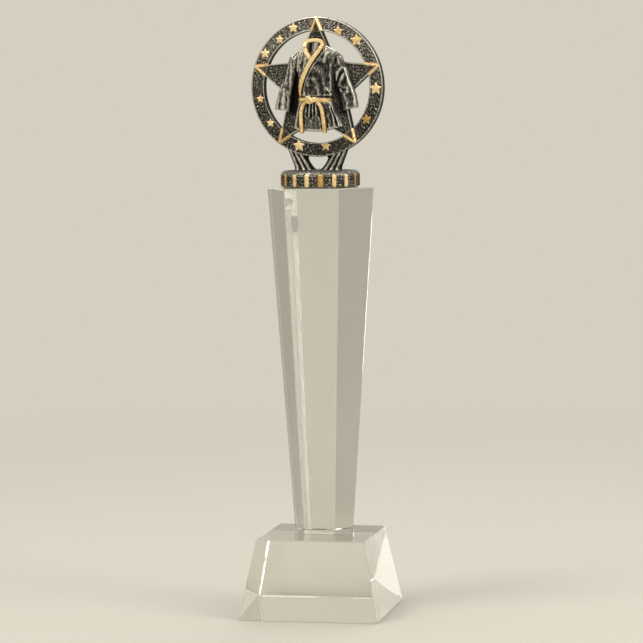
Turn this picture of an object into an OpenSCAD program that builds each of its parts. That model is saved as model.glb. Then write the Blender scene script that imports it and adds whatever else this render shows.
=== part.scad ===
// Column trophy: a square crystal base, a tapered six-sided crystal column and a cast topper.
// The topper is a round foot, two ribbed struts, a ring with a star in it and a belted jacket on the star.
// Millimetres, +Z up, front towards -Y. The origin is the middle of the base's underside.
// Left and right are as seen from the front.

/* [Crystal base] */
// Width and depth of the base block at its underside
base_w = 73; // [60:0.5:110]
// Width and depth of the base block at its top
base_top_w = 57; // [46:0.5:72]
// Height of the base block
base_h = 41; // [20:0.5:70]

/* [Crystal column] */
// Width of the column's foot across its corners
column_foot_w = 31.4; // [22:0.2:40]
// Width of the column's top across its corners
column_top_w = 57; // [46:0.5:70]
// Height of the column
column_h = 180.5; // [100:0.5:260]
// Distance of the column behind the middle of the base
column_setback = 8; // [0:0.5:11]

/* [Bonds] */
// Thickness of the clear adhesive under the column
column_bond_t = 0.2; // [0.1:0.05:0.5]
// Thickness of the adhesive under the topper
topper_bond_t = 0.3; // [0.1:0.05:0.6]
// Distance that a bond stops short of the edge of the piece above it
bond_margin = 0.8; // [0.2:0.1:2]

/* [Topper foot] */
// Turn of the whole topper on the column, from above
topper_turn = -8; // [-45:1:45]
// Diameter of the foot
foot_d = 41; // [34:0.5:46]
// Height of the foot
foot_h = 8.3; // [6:0.1:12]
// Radius of the foot's top edge
foot_top_round = 1.1; // [0.5:0.1:2.8]
// Radius of the foot's bottom edge
foot_low_round = 0.4; // [0.3:0.1:1.5]
// Number of gold bars round the foot
foot_bar_count = 18; // [8:1:24]
// Angle that each gold bar covers
foot_bar_angle = 9; // [4:0.5:12]
// Depth of the groove that each gold bar sits in
foot_bar_seat = 0.6; // [0.3:0.1:1]
// Distance that each gold bar stands out of the foot
foot_bar_proud = 0.3; // [0.1:0.1:0.6]
// Distance of the gold bars from the foot's rounded edges
foot_bar_margin = 0.3; // [0.1:0.1:0.8]

/* [Struts] */
// Clear height between the foot and the ring
strut_rise = 7.2; // [6:0.2:14]
// Number of ribs in each strut
strut_rib_count = 3; // [2:1:4]
// Diameter of each rib
strut_rib_d = 3.5; // [3:0.1:5]
// Distance between ribs
strut_rib_pitch = 2.9; // [2.4:0.1:3.4]
// Distance of each strut's middle from the centre line at the foot
strut_spread = 7.4; // [6:0.1:9]
// Outward lean of the struts
strut_lean = 28; // [15:1:35]

/* [Ring] */
// Outside diameter of the ring
ring_d = 72.5; // [62:0.5:90]
// Width of the ring's band
ring_band = 7.2; // [5:0.1:9]
// Thickness of the ring from front to back
ring_t = 4; // [3:0.1:6]
// Radius of the ring's edges
ring_round = 0.6; // [0.2:0.1:1]
// Distance of the ring in front of the middle of the foot
ring_forward = 2.5; // [0:0.5:6]

/* [Star] */
// Width of the rim that the ring keeps outside each tip of the star
star_rim = 0.7; // [0.4:0.1:2]
// Distance of the star's inner corners from its middle
star_corner_r = 15.3; // [13:0.1:18]
// Distance that the star stands out of each face of the ring
star_proud = 0.3; // [0.1:0.1:0.8]
// Width of the gold line along each edge of a tip
chevron_w = 1.3; // [0.8:0.1:1.8]
// Height of the gold lines over the star's face
chevron_h = 0.7; // [0.3:0.1:1.2]
// Width of the widest small stars on the ring, tip to tip through their middle
wide_star_d = 6.6; // [5:0.1:7]
// Width of the common small stars on the ring
small_star_d = 5.4; // [4:0.1:6]
// Width of the narrow small stars on the ring
tiny_star_d = 4.5; // [3:0.1:5]
// Height of the small stars over the ring
small_star_h = 0.6; // [0.3:0.1:1]

/* [Jacket body] */
// Distance of the jacket's middle to the right of the star's middle
jacket_x = 0.7; // [-2:0.1:2]
// Width of the jacket at the belt
waist_w = 18.6; // [16:0.2:20]
// Width of the jacket between the armholes at the shoulders
shoulder_w = 20; // [18:0.2:24]
// Width of the jacket at the foot of the neck
neck_w = 9; // [7:0.2:10]
// Height of the foot of the neck over the ring's middle
neck_z = 20.6; // [19:0.1:22]
// Height of the shoulders over the ring's middle
shoulder_z = 17.6; // [16:0.1:18.5]
// Distance that the chest stands out of the star
torso_depth = 5.2; // [4:0.1:7]
// Width over which the chest is bowed
torso_bow_w = 25; // [24.5:0.5:32]

/* [Jacket skirt] */
// Width of the skirt at its hem
hem_w = 27; // [22:0.2:30]
// Depth of the hem's middle under the ring's middle
hem_drop = 23; // [18:0.2:25]
// Bend radius of the hem
hem_r = 35; // [25:1:80]
// Distance that the skirt stands out of the star
skirt_depth = 5.4; // [4:0.1:7]
// Width over which the skirt is bowed
skirt_bow_w = 33; // [31:0.5:44]

/* [Sleeves] */
// Distance of the sleeve's head from the jacket's middle
sleeve_head_x = 10.8; // [10:0.1:12]
// Height of the sleeve's head over the ring's middle
sleeve_head_z = 13.8; // [12:0.1:14.4]
// Distance of the cuff from the jacket's middle
cuff_x = 19.2; // [16:0.1:21]
// Depth of the cuff under the ring's middle
cuff_drop = 11.8; // [8:0.1:14]
// Diameter of the sleeve at its head
sleeve_head_d = 7.6; // [6:0.1:8]
// Diameter of the sleeve at its cuff
cuff_d = 8.2; // [6:0.1:9]
// Distance of the sleeve's middle in front of the star
sleeve_out = 2.6; // [1.5:0.1:3.5]

/* [Collar and lapels] */
// Outside radius of the collar
collar_r = 5.7; // [5:0.1:6.5]
// Width of the collar's band
collar_band = 1.6; // [1:0.1:2]
// Height of the collar's middle over the ring's middle
collar_z = 18.8; // [18:0.1:20]
// Width of the lapels
lapel_w = 2.8; // [2:0.1:3.2]
// Thickness of the lapels on the chest
lapel_t = 0.8; // [0.4:0.1:1.2]
// Distance of the lapel's middle line from the side of the waist, where it comes nearest
lapel_side = 1.3; // [1:0.1:2.5]
// Depth of that place under the ring's middle
lapel_drop = 5.5; // [1:0.1:8]
// Thickness of the lining in the neck
lining_t = 1.6; // [0.8:0.1:3]

/* [Belt] */
// Depth of the belt's middle under the ring's middle
belt_drop = 6.7; // [5:0.1:8]
// Height of the belt
belt_h = 2.8; // [2:0.1:3.6]
// Distance that the belt stands out of the chest
belt_t = 0.8; // [0.4:0.1:1.2]
// Distance of the knot to the left of the jacket's middle
knot_x = 1; // [-2:0.1:3]
// Width of the knot
knot_w = 6.6; // [5:0.1:8]
// Height of the knot
knot_h = 3.5; // [2.5:0.1:4.5]
// Distance that the knot stands out of the belt
knot_t = 1.5; // [0.8:0.1:2.2]
// Width of the belt's tails
tail_w = 2.3; // [1.6:0.1:3]
// Thickness of the belt's tails
tail_t = 0.9; // [0.5:0.1:1.4]
// Distance of the tails from the knot's middle where they leave it
tail_top_x = 3; // [2:0.1:3.4]
// Distance of the tails from the knot's middle further down
tail_spread = 6.3; // [5:0.1:8]
// Depth of the bend in the tails under the ring's middle
tail_bend_drop = 15; // [11:0.1:17]
// Depth of the tails' ends under the ring's middle
tail_drop = 24; // [18:0.1:26]

/* [Hidden] */
$fn = 96;

// Directions for pieces that come as a pair
LEFT = -1;
RIGHT = 1;

// Crystal sides, and the column's width across flats for each millimetre across corners
base_sides = 4;
column_sides = 6;
column_flat = cos(180 / column_sides);

// Star shape
star_tip_count = 5;
star_step = 180 / star_tip_count;
small_star_waist = 0.45;

// Small stars on the ring: angle from the right, distance outwards from the band's middle, width
small_stars = [
    [47, -0.1, wide_star_d],
    [67, -1.5, small_star_d],
    [112, 0.4, small_star_d],
    [129, -0.9, tiny_star_d],
    [148, 0.5, small_star_d],
    [191, -1, tiny_star_d],
    [216, -1, tiny_star_d],
    [252, -0.6, wide_star_d],
    [279, -1.6, small_star_d],
    [328, -0.7, small_star_d],
    [358, -0.1, wide_star_d]
];

// Heights of the stacked pieces
column_z = base_h + column_bond_t;
topper_z = column_z + column_h + topper_bond_t;
ring_z = foot_h + strut_rise + ring_d / 2;

// Heights of the gold bars on the foot
foot_bar_low = foot_low_round + foot_bar_margin;
foot_bar_top = foot_h - foot_top_round - foot_bar_margin;

// Ring and star
ring_inner_r = ring_d / 2 - ring_band;
ring_mid_r = ring_inner_r + ring_band / 2;
star_tip_r = ring_d / 2 - star_rim;
star_t = ring_t + 2 * star_proud;
star_tip_half = atan2(star_corner_r * sin(star_step), star_tip_r - star_corner_r * cos(star_step));
star_edge_r = star_tip_r * sin(star_tip_half);
chevron_scale = (star_edge_r - chevron_w) / star_edge_r;

// Struts run past the ring's rim before they are trimmed to it
strut_run = strut_rise + ring_d / 4;

// Belt line and jacket
belt_top = belt_h / 2 - belt_drop;
belt_low = -belt_h / 2 - belt_drop;
collar_top = collar_z + collar_r;
collar_depth = torso_depth + lapel_t;

// Lapels bend in one arc from the collar's band to their nearest place to the side of the waist
lapel_reach = waist_w / 2 - lapel_side;
lapel_run = collar_r - collar_band / 2 + lapel_reach;
lapel_rise = collar_z + lapel_drop;
lapel_r = (lapel_run * lapel_run + lapel_rise * lapel_rise) / (2 * lapel_run);
lapel_x = lapel_r - lapel_reach;

// Upright bar with an even number of sloped flat sides, given by its widths across opposite sides
module tapered_bar(side_count, low_w, top_w, h) {
    turn = 360 / side_count;
    reach = 2 * max(low_w, top_w);
    intersection_for (i = [1 : side_count / 2])
        rotate([90, 0, 90 + i * turn])
            linear_extrude(reach, center = true)
                polygon([[-low_w / 2, 0], [low_w / 2, 0], [top_w / 2, h], [-top_w / 2, h]]);
}

// Crystal base: a square block with sloped sides
module base_block() {
    color("gainsboro")
        tapered_bar(base_sides, base_w, base_top_w, base_h);
}

// Clear adhesive between the base and the column
module column_bond() {
    color("whitesmoke")
        translate([0, column_setback, base_h])
            cylinder(d = column_foot_w - 2 * bond_margin, h = column_bond_t, $fn = column_sides);
}

// Six-sided crystal column, wider at its top, with one flat side to the front
module column() {
    color("gainsboro")
        translate([0, column_setback, column_z])
            tapered_bar(column_sides, column_foot_w * column_flat, column_top_w * column_flat, column_h);
}

// Adhesive between the column and the topper's foot
module topper_bond() {
    color("whitesmoke")
        translate([0, column_setback, topper_z - topper_bond_t])
            cylinder(r = foot_d / 2 - foot_low_round - bond_margin, h = topper_bond_t);
}

// Places children on the column's top, at the turn of the topper
module on_column() {
    translate([0, column_setback, topper_z])
        rotate([0, 0, topper_turn])
            children();
}

// Places children at the middle of the ring
module in_ring() {
    on_column()
        translate([0, -ring_forward, ring_z])
            children();
}

// Places children on the star's front face, at the jacket's middle
module on_star() {
    in_ring()
        translate([jacket_x, -star_t / 2, 0])
            children();
}

// Half of the foot's outline, from its axis to its rounded rim
module foot_outline() {
    rim = foot_d / 2;
    translate([0, foot_low_round])
        square([rim, foot_h - foot_low_round - foot_top_round]);
    square([rim - foot_low_round, foot_low_round]);
    translate([0, foot_h - foot_top_round])
        square([rim - foot_top_round, foot_top_round]);
    intersection() {
        translate([rim - foot_top_round, foot_h - foot_top_round])
            circle(foot_top_round);
        square([rim, foot_h]);
    }
    intersection() {
        translate([rim - foot_low_round, foot_low_round])
            circle(foot_low_round);
        square([rim, foot_h]);
    }
}

// One upright bar of the foot's rim for each gold bar, out to the radius asked for
module foot_bar_set(outer_r) {
    seat_r = foot_d / 2 - foot_bar_seat;
    for (i = [0 : foot_bar_count - 1])
        rotate([0, 0, i * 360 / foot_bar_count - foot_bar_angle / 2 - 90])
            rotate_extrude(angle = foot_bar_angle)
                translate([seat_r, foot_bar_low])
                    square([outer_r - seat_r, foot_bar_top - foot_bar_low]);
}

// Round foot of the topper, with grooves for the gold bars
module foot_disc() {
    color("dimgray")
        on_column()
            difference() {
                rotate_extrude()
                    foot_outline();
                foot_bar_set(foot_d / 2 + foot_bar_seat);
            }
}

// Gold bars in the foot's grooves
module foot_bars() {
    color("goldenrod")
        on_column()
            foot_bar_set(foot_d / 2 + foot_bar_proud);
}

// Leaning ribs side by side, trimmed flat on the foot and round under the ring
module strut(side) {
    color("slategray")
        on_column()
            difference() {
                for (i = [0 : strut_rib_count - 1])
                    translate([
                        side * (strut_spread + (i - (strut_rib_count - 1) / 2) * strut_rib_pitch),
                        -ring_forward,
                        foot_h
                    ])
                        rotate([0, side * strut_lean, 0])
                            translate([0, 0, -foot_h / 2])
                                cylinder(d = strut_rib_d, h = foot_h / 2 + strut_run);
                translate([0, 0, foot_h - foot_d / 2])
                    cube([2 * foot_d, 2 * foot_d, foot_d], center = true);
                translate([0, -ring_forward, ring_z])
                    rotate([90, 0, 0])
                        cylinder(d = ring_d, h = 2 * strut_rib_d, center = true);
            }
}

module left_strut() {
    strut(LEFT);
}

module right_strut() {
    strut(RIGHT);
}

// Stands an outline up in the ring's plane, from one distance in front of its middle to another
module plate(back, front) {
    rotate([90, 0, 0])
        translate([0, 0, back])
            linear_extrude(front - back)
                children();
}

// Star with its first tip upwards
module star_outline(tip_r, corner_r) {
    polygon([
        for (i = [0 : 2 * star_tip_count - 1])
            let (r = i % 2 == 0 ? tip_r : corner_r, a = 90 + i * star_step)
                [r * cos(a), r * sin(a)]
    ]);
}

// Flat band between two circles
module band(inner_r, outer_r) {
    difference() {
        circle(outer_r);
        circle(inner_r);
    }
}

// Section of the ring's band with rounded corners
module ring_section() {
    flat_w = ring_band - 2 * ring_round;
    flat_t = ring_t - 2 * ring_round;
    square([flat_w, ring_t], center = true);
    square([ring_band, flat_t], center = true);
    for (x = [-flat_w / 2, flat_w / 2])
        for (y = [-flat_t / 2, flat_t / 2])
            translate([x, y])
                circle(ring_round);
}

// Ring with a notch for each tip of the star
module ring() {
    color("dimgray")
        in_ring()
            difference() {
                rotate([90, 0, 0])
                    rotate_extrude()
                        translate([ring_mid_r, 0])
                            ring_section();
                plate(-ring_t, ring_t)
                    star_outline(star_tip_r, star_corner_r);
            }
}

// Star that fills the ring's notches
module star() {
    color("gray")
        in_ring()
            plate(-star_t / 2, star_t / 2)
                star_outline(star_tip_r, star_corner_r);
}

// Gold lines along the star's tips, where they cross the ring
module tip_chevrons() {
    color("goldenrod")
        in_ring()
            plate(star_t / 2, star_t / 2 + chevron_h)
                intersection() {
                    difference() {
                        star_outline(star_tip_r, star_corner_r);
                        star_outline(star_tip_r * chevron_scale, star_corner_r * chevron_scale);
                    }
                    band(ring_inner_r, ring_d / 2);
                }
}

// Small gold stars on the flat of the ring's front
module ring_stars() {
    color("goldenrod")
        in_ring()
            plate(ring_t / 2, ring_t / 2 + small_star_h)
                intersection() {
                    for (s = small_stars)
                        rotate(s[0])
                            translate([ring_mid_r + s[1], 0])
                                rotate(-s[0])
                                    star_outline(s[2] / 2, s[2] / 2 * small_star_waist);
                    band(ring_inner_r + ring_round, ring_d / 2 - ring_round);
                }
}

// Radius of a bowed front that is w wide at its back and depth deep
function bow_r(w, depth) = (w * w / 4 + depth * depth) / (2 * depth);

// Upright bar with a bowed front on the star, between two heights, grown by an amount
module bow(w, depth, low, high, grow = 0) {
    r = bow_r(w, depth);
    translate([0, r - depth, low])
        cylinder(r = r + grow, h = high - low);
}

module torso_bow(grow = 0) {
    bow(torso_bow_w, torso_depth, belt_low, collar_top, grow);
}

module skirt_bow(grow = 0) {
    bow(skirt_bow_w, skirt_depth, -tail_drop, belt_low, grow);
}

// Draws an outline forward from the star's face
module relief(depth) {
    plate(0, depth)
        children();
}

// Jacket from the belt up to the shoulders
module torso_outline() {
    polygon([
        [-waist_w / 2, belt_top],
        [waist_w / 2, belt_top],
        [shoulder_w / 2, shoulder_z],
        [neck_w / 2, neck_z],
        [-neck_w / 2, neck_z],
        [-shoulder_w / 2, shoulder_z]
    ]);
}

// Disc whose edge is a lapel's middle line, grown by an amount
module lapel_disc(side, grow = 0) {
    translate([side * lapel_x, -lapel_drop])
        circle(lapel_r + grow);
}

// Band of a lapel between the belt and the collar
module lapel_outline(side) {
    intersection() {
        difference() {
            lapel_disc(side, lapel_w / 2);
            lapel_disc(side, -lapel_w / 2);
        }
        translate([-shoulder_w / 2, belt_top])
            square([shoulder_w, collar_z - belt_top]);
        torso_outline();
    }
}

// Opening inside the collar and above the crossing of the lapels
module neck_outline() {
    inner_r = collar_r - collar_band;
    translate([0, collar_z])
        intersection() {
            circle(inner_r);
            translate([-inner_r, 0])
                square([2 * inner_r, inner_r]);
        }
    difference() {
        translate([-inner_r, collar_z - collar_r])
            square([2 * inner_r, collar_r]);
        lapel_disc(LEFT, lapel_w / 2);
        lapel_disc(RIGHT, lapel_w / 2);
    }
}

// Both front panels as one, with the collar and the neck left out
module chest() {
    difference() {
        intersection() {
            relief(torso_depth)
                torso_outline();
            torso_bow();
        }
        relief(2 * torso_depth) {
            neck_outline();
            intersection() {
                translate([0, collar_z])
                    circle(collar_r);
                translate([-collar_r, collar_z])
                    square([2 * collar_r, collar_r]);
            }
        }
    }
}

// Side of the jacket that closes over the other one, up to the middle of its lapel
module over_outline() {
    lapel_disc(RIGHT);
    translate([0, collar_z])
        square([shoulder_w, collar_r]);
}

// Front panel on the left, which goes under the other one
module under_panel() {
    color("darkgray")
        on_star()
            difference() {
                chest();
                relief(torso_depth)
                    over_outline();
            }
}

// Front panel on the right, which closes over the other one
module over_panel() {
    color("darkgray")
        on_star()
            intersection() {
                chest();
                relief(torso_depth)
                    over_outline();
            }
}

// Skirt of the jacket below the belt
module skirt() {
    color("darkgray")
        on_star()
            intersection() {
                relief(skirt_depth)
                    intersection() {
                        polygon([
                            [-waist_w / 2, belt_low],
                            [waist_w / 2, belt_low],
                            [hem_w / 2, -hem_drop],
                            [-hem_w / 2, -hem_drop]
                        ]);
                        translate([0, hem_r - hem_drop])
                            circle(hem_r);
                    }
                skirt_bow();
            }
}

// Hanging sleeve, flat where it meets the star and the front panel
module sleeve(side) {
    drop = sleeve_head_z + cuff_drop;
    reach = cuff_x - sleeve_head_x;
    color("darkgray")
        on_star()
            difference() {
                translate([side * sleeve_head_x, -sleeve_out, sleeve_head_z]) {
                    sphere(d = sleeve_head_d);
                    rotate([0, side * (180 - atan2(reach, drop)), 0])
                        cylinder(d1 = sleeve_head_d, d2 = cuff_d, h = norm([reach, drop]));
                }
                relief(2 * sleeve_head_d)
                    torso_outline();
                translate([-ring_d / 2, 0, -ring_d / 2])
                    cube(ring_d);
            }
}

module left_sleeve() {
    sleeve(LEFT);
}

module right_sleeve() {
    sleeve(RIGHT);
}

// Inside of the jacket's back, seen through the neck
module neck_lining() {
    color("silver")
        on_star()
            relief(lining_t)
                neck_outline();
}

// Gold collar round the back of the neck
module collar() {
    color("goldenrod")
        on_star()
            relief(collar_depth)
                translate([0, collar_z])
                    intersection() {
                        band(collar_r - collar_band, collar_r);
                        translate([-collar_r, 0])
                            square([2 * collar_r, collar_r]);
                    }
}

// Gold band that lies on the chest within a lapel's outline
module lapel_band() {
    difference() {
        intersection() {
            relief(torso_depth + lapel_t)
                children();
            torso_bow(lapel_t);
        }
        torso_bow();
    }
}

// Short lapel on the left, down to where the other one crosses it
module under_lapel() {
    color("goldenrod")
        on_star()
            lapel_band()
                difference() {
                    lapel_outline(LEFT);
                    lapel_disc(RIGHT, lapel_w / 2);
                }
}

// Long lapel from the collar's right side down to the belt
module over_lapel() {
    color("goldenrod")
        on_star()
            lapel_band()
                lapel_outline(RIGHT);
}

// Belt round the waist
module belt() {
    color("goldenrod")
        on_star()
            intersection() {
                relief(torso_depth + belt_t)
                    translate([-waist_w / 2, belt_low])
                        square([waist_w, belt_h]);
                torso_bow(belt_t);
            }
}

// Flat knot in front of the belt
module belt_knot() {
    color("goldenrod")
        on_star()
            difference() {
                relief(torso_depth + belt_t + knot_t)
                    translate([-knot_x, -belt_drop]) {
                        square([knot_w - knot_h, knot_h], center = true);
                        for (side = [LEFT, RIGHT])
                            translate([side * (knot_w - knot_h) / 2, 0])
                                circle(d = knot_h);
                    }
                torso_bow(belt_t);
                skirt_bow(tail_t);
            }
}

// One end of the belt, hanging on the skirt's front
module belt_tail(side) {
    top_x = side * tail_top_x - knot_x;
    low_x = side * tail_spread - knot_x;
    edge = tail_w / 2;
    color("goldenrod")
        on_star()
            difference() {
                intersection() {
                    relief(skirt_depth + tail_t)
                        polygon([
                            [top_x - edge, belt_low],
                            [top_x + edge, belt_low],
                            [low_x + edge, -tail_bend_drop],
                            [low_x + edge, -tail_drop],
                            [low_x - edge, -tail_drop],
                            [low_x - edge, -tail_bend_drop]
                        ]);
                    skirt_bow(tail_t);
                }
                skirt_bow();
            }
}

module left_belt_tail() {
    belt_tail(LEFT);
}

module right_belt_tail() {
    belt_tail(RIGHT);
}

base_block();
column_bond();
column();
topper_bond();
foot_disc();
foot_bars();
left_strut();
right_strut();
ring();
star();
tip_chevrons();
ring_stars();
under_panel();
over_panel();
skirt();
left_sleeve();
right_sleeve();
neck_lining();
collar();
under_lapel();
over_lapel();
belt();
belt_knot();
left_belt_tail();
right_belt_tail();
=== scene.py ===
import math
from contextlib import contextmanager

import bmesh
import bpy
import mathutils
import numpy as np
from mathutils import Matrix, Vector


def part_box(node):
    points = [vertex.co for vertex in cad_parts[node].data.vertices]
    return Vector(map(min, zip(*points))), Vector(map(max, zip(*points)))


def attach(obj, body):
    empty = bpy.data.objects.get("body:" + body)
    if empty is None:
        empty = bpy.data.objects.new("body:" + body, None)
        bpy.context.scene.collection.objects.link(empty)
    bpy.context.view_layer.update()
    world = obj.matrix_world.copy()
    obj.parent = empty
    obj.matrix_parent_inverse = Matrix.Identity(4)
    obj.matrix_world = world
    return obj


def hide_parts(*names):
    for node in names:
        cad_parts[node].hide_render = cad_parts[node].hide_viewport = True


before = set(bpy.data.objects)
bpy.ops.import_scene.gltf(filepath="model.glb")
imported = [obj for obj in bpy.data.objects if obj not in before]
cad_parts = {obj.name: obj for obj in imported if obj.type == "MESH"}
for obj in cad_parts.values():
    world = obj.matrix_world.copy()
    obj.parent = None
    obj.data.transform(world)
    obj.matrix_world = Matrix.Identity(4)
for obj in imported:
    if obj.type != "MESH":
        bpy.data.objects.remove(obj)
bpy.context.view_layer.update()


# Crystal base: a square block of clear optical crystal with sloped sides, ground and polished.
# Every edge is polished to a narrow bevel. The block stands on its flat underside.
mm = 0.001
base_top_w = 57 * mm
crystal_bevel = 0.5 * mm
crystal_index = 1.52
crystal_through = 0.95
crystal_clear = (0.84, 0.825, 0.775, 1)
crystal_warm = (0.82, 0.80, 0.745, 1)
cloud_size = 60 * mm
cloud_range = (0.3, 0.7)
smear_size = 9 * mm
smear_range = (0.5, 0.9)
smear_haze = 0.012
finish_suffix = "_finish"

# Light that is turned back inside the crystal more often than this would end in black, so there the crystal
# is given a painted glow
glow_after = 3.5
crystal_glow = (0.40, 0.39, 0.335, 1)
no_glow = (0, 0, 0, 1)


class Thread:
    """A socket in a finish. Python maths on it adds Math nodes."""

    def __init__(self, tree, socket):
        self.tree = tree
        self.socket = socket

    def node(self, kind, settings, sockets, out=0):
        """Adds a node, sets it up, fills or links its sockets and returns one output."""
        made = self.tree.nodes.new(kind)
        for key, value in settings.items():
            setattr(made, key, value)
        for key, value in sockets.items():
            if isinstance(value, Thread):
                self.tree.links.new(value.socket, made.inputs[key])
            else:
                made.inputs[key].default_value = value
        return Thread(self.tree, made.outputs[out]) if made.outputs else None

    def maths(self, operation, first, second):
        return self.node("ShaderNodeMath", {"operation": operation}, {0: first, 1: second})

    def __add__(self, other):
        return self.maths("ADD", self, other)

    def __radd__(self, other):
        return self.maths("ADD", other, self)

    def __sub__(self, other):
        return self.maths("SUBTRACT", self, other)

    def __rsub__(self, other):
        return self.maths("SUBTRACT", other, self)

    def __mul__(self, other):
        return self.maths("MULTIPLY", self, other)

    def __rmul__(self, other):
        return self.maths("MULTIPLY", other, self)

    def noise(self, size, detail=2.0, rough=0.5):
        """Noise whose patches are about as wide as the size given."""
        sockets = {"Vector": self, "Scale": 1 / size, "Detail": detail, "Roughness": rough}
        return self.node("ShaderNodeTexNoise", {}, sockets)

    def between(self, low, high):
        """Rises smoothly from 0 at the low value to 1 at the high one."""
        settings = {"interpolation_type": "SMOOTHSTEP"}
        return self.node("ShaderNodeMapRange", settings, {0: self, 1: low, 2: high})

    def blend(self, low, high):
        """Goes from one colour to another as this value goes from 0 to 1."""
        return self.node("ShaderNodeMix", {"data_type": "RGBA"}, {0: self, 6: low, 7: high}, 2)

    def bump(self, strength, depth):
        """Normals of a surface that this value raises by up to the depth given."""
        sockets = {"Strength": strength, "Distance": depth, "Height": self}
        return self.node("ShaderNodeBump", {}, sockets)

    def stored(self, name):
        """A number that a piece keeps for each of its points."""
        return self.node("ShaderNodeAttribute", {"attribute_name": name}, {}, "Fac")


def start_finish(slot):
    """Makes an empty material for a slot and returns it with the place of each point on a piece."""
    finish = bpy.data.materials.new(slot + finish_suffix)
    finish.use_nodes = True
    tree = finish.node_tree
    tree.nodes.clear()
    place = Thread(tree, tree.nodes.new("ShaderNodeTexCoord").outputs["Object"])
    return finish, place


def end_finish(place, sockets):
    """Ends a material in one shader, with values or links in the sockets named."""
    body = place.node("ShaderNodeBsdfPrincipled", {}, sockets)
    place.node("ShaderNodeOutputMaterial", {}, {"Surface": body})


def add(name, primitive, **settings):
    """Adds a primitive with nothing else selected, and puts its place, turn and scale in its mesh."""
    bpy.ops.object.select_all(action="DESELECT")
    primitive(**settings)
    piece = bpy.context.object
    piece.name = name
    bpy.ops.object.transform_apply(location=True, rotation=True, scale=True)
    return piece


def take(piece):
    """Makes a piece the only selected object, and the active one."""
    bpy.ops.object.select_all(action="DESELECT")
    piece.select_set(True)
    bpy.context.view_layer.objects.active = piece


def pick(kind, test):
    """Selects, in edit mode, just the vertices, edges or faces that pass a test."""
    bpy.ops.mesh.select_mode(type=kind)
    bpy.ops.mesh.select_all(action="DESELECT")
    mesh = bpy.context.object.data
    shape = bmesh.from_edit_mesh(mesh)
    parts = {"VERT": shape.verts, "EDGE": shape.edges, "FACE": shape.faces}[kind]
    for part in parts:
        part.select_set(bool(test(part)))
    shape.select_flush_mode()
    bmesh.update_edit_mesh(mesh)


@contextmanager
def editing(piece):
    """Opens a piece in edit mode with all of it selected, and closes it when the work is done."""
    take(piece)
    bpy.ops.object.mode_set(mode="EDIT")
    bpy.ops.mesh.select_all(action="SELECT")
    yield
    bpy.ops.object.mode_set(mode="OBJECT")


def cut_crystal(piece, middle, top_scale):
    """Tapers an upright block towards the line through its middle, and polishes its edges to bevels."""
    with editing(piece):
        pick("FACE", lambda face: face.normal.z > 0.9)
        bpy.ops.transform.resize(value=(top_scale, top_scale, 1), center_override=middle)
        bpy.ops.mesh.select_all(action="SELECT")
        bpy.ops.mesh.bevel(offset=crystal_bevel, segments=1, affect="EDGES")


def fit(piece, finish, node):
    """Gives a finished piece its material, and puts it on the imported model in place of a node."""
    piece.data.materials.clear()
    piece.data.materials.append(finish)
    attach(piece, "root")
    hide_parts(node)


crystal, place = start_finish("crystal")
cloud = place.noise(cloud_size, detail=3)
smear = place.noise(smear_size, detail=4)
turned_back = place.node("ShaderNodeLightPath", {}, {}, "Glossy Depth")
caught = turned_back.between(glow_after - 0.1, glow_after)
end_finish(
    place,
    {
        "Base Color": cloud.between(*cloud_range).blend(crystal_clear, crystal_warm),
        "Roughness": smear.between(*smear_range) * smear_haze,
        "IOR": crystal_index,
        "Transmission Weight": crystal_through,
        "Emission Color": caught.blend(no_glow, crystal_glow),
        "Emission Strength": 1.0,
    },
)

base_low, base_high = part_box("base_block")
base_size = base_high - base_low
base_middle = (base_low + base_high) / 2
cube = bpy.ops.mesh.primitive_cube_add
crystal_base = add("crystal_base", cube, size=1, location=base_middle, scale=base_size)
cut_crystal(crystal_base, base_middle, base_top_w / base_size.x)
fit(crystal_base, crystal, "base_block")


# Column: a six-sided bar of the same crystal that widens upwards, ground and polished.
# A flat side faces the front, and its foot is bonded to the base a little behind the middle.
column_sides = 6
column_foot_w = 31.4 * mm
column_top_w = 57 * mm
half_side = math.pi / column_sides

column_low, column_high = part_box("column")
column_middle = (column_low + column_high) / 2
crystal_column = add(
    "crystal_column",
    bpy.ops.mesh.primitive_cylinder_add,
    vertices=column_sides,
    radius=column_foot_w / 2,
    depth=column_high.z - column_low.z,
    location=column_middle,
    rotation=(0, 0, half_side),
)
cut_crystal(crystal_column, column_middle, column_top_w / column_foot_w)
fit(crystal_column, crystal, "column")


# Column bond: a thin film of clear adhesive, cured under the column's foot.
# It wets both polished faces, so it reaches a hair into each of them.
bond_margin = 0.8 * mm
bond_wets = 0.05 * mm
bond_bevel = 0.06 * mm
bond_clear = (1, 1, 0.98, 1)
bond_yellow = (0.97, 0.96, 0.92, 1)
bond_speck = 1.5 * mm
speck_range = (0.6, 0.9)
bond_haze = 0.03

adhesive, place = start_finish("adhesive")
specks = place.noise(bond_speck)
end_finish(
    place,
    {
        "Base Color": specks.blend(bond_clear, bond_yellow),
        "Roughness": specks.between(*speck_range) * bond_haze,
        "IOR": crystal_index,
        "Transmission Weight": 1.0,
    },
)


def spread_bond(name, node, radius, sides, turn):
    """Lays a wafer of adhesive that fills the gap a bond has, with a rounded rim."""
    low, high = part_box(node)
    film = add(
        name,
        bpy.ops.mesh.primitive_cylinder_add,
        vertices=sides,
        radius=radius,
        depth=high.z - low.z + 2 * bond_wets,
        location=(low + high) / 2,
        rotation=(0, 0, turn),
    )
    with editing(film):
        bpy.ops.mesh.bevel(offset=bond_bevel, segments=2, affect="EDGES")
    fit(film, adhesive, node)


spread_bond("column_glue", "column_bond", column_foot_w / 2 - bond_margin, column_sides, half_side)


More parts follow.
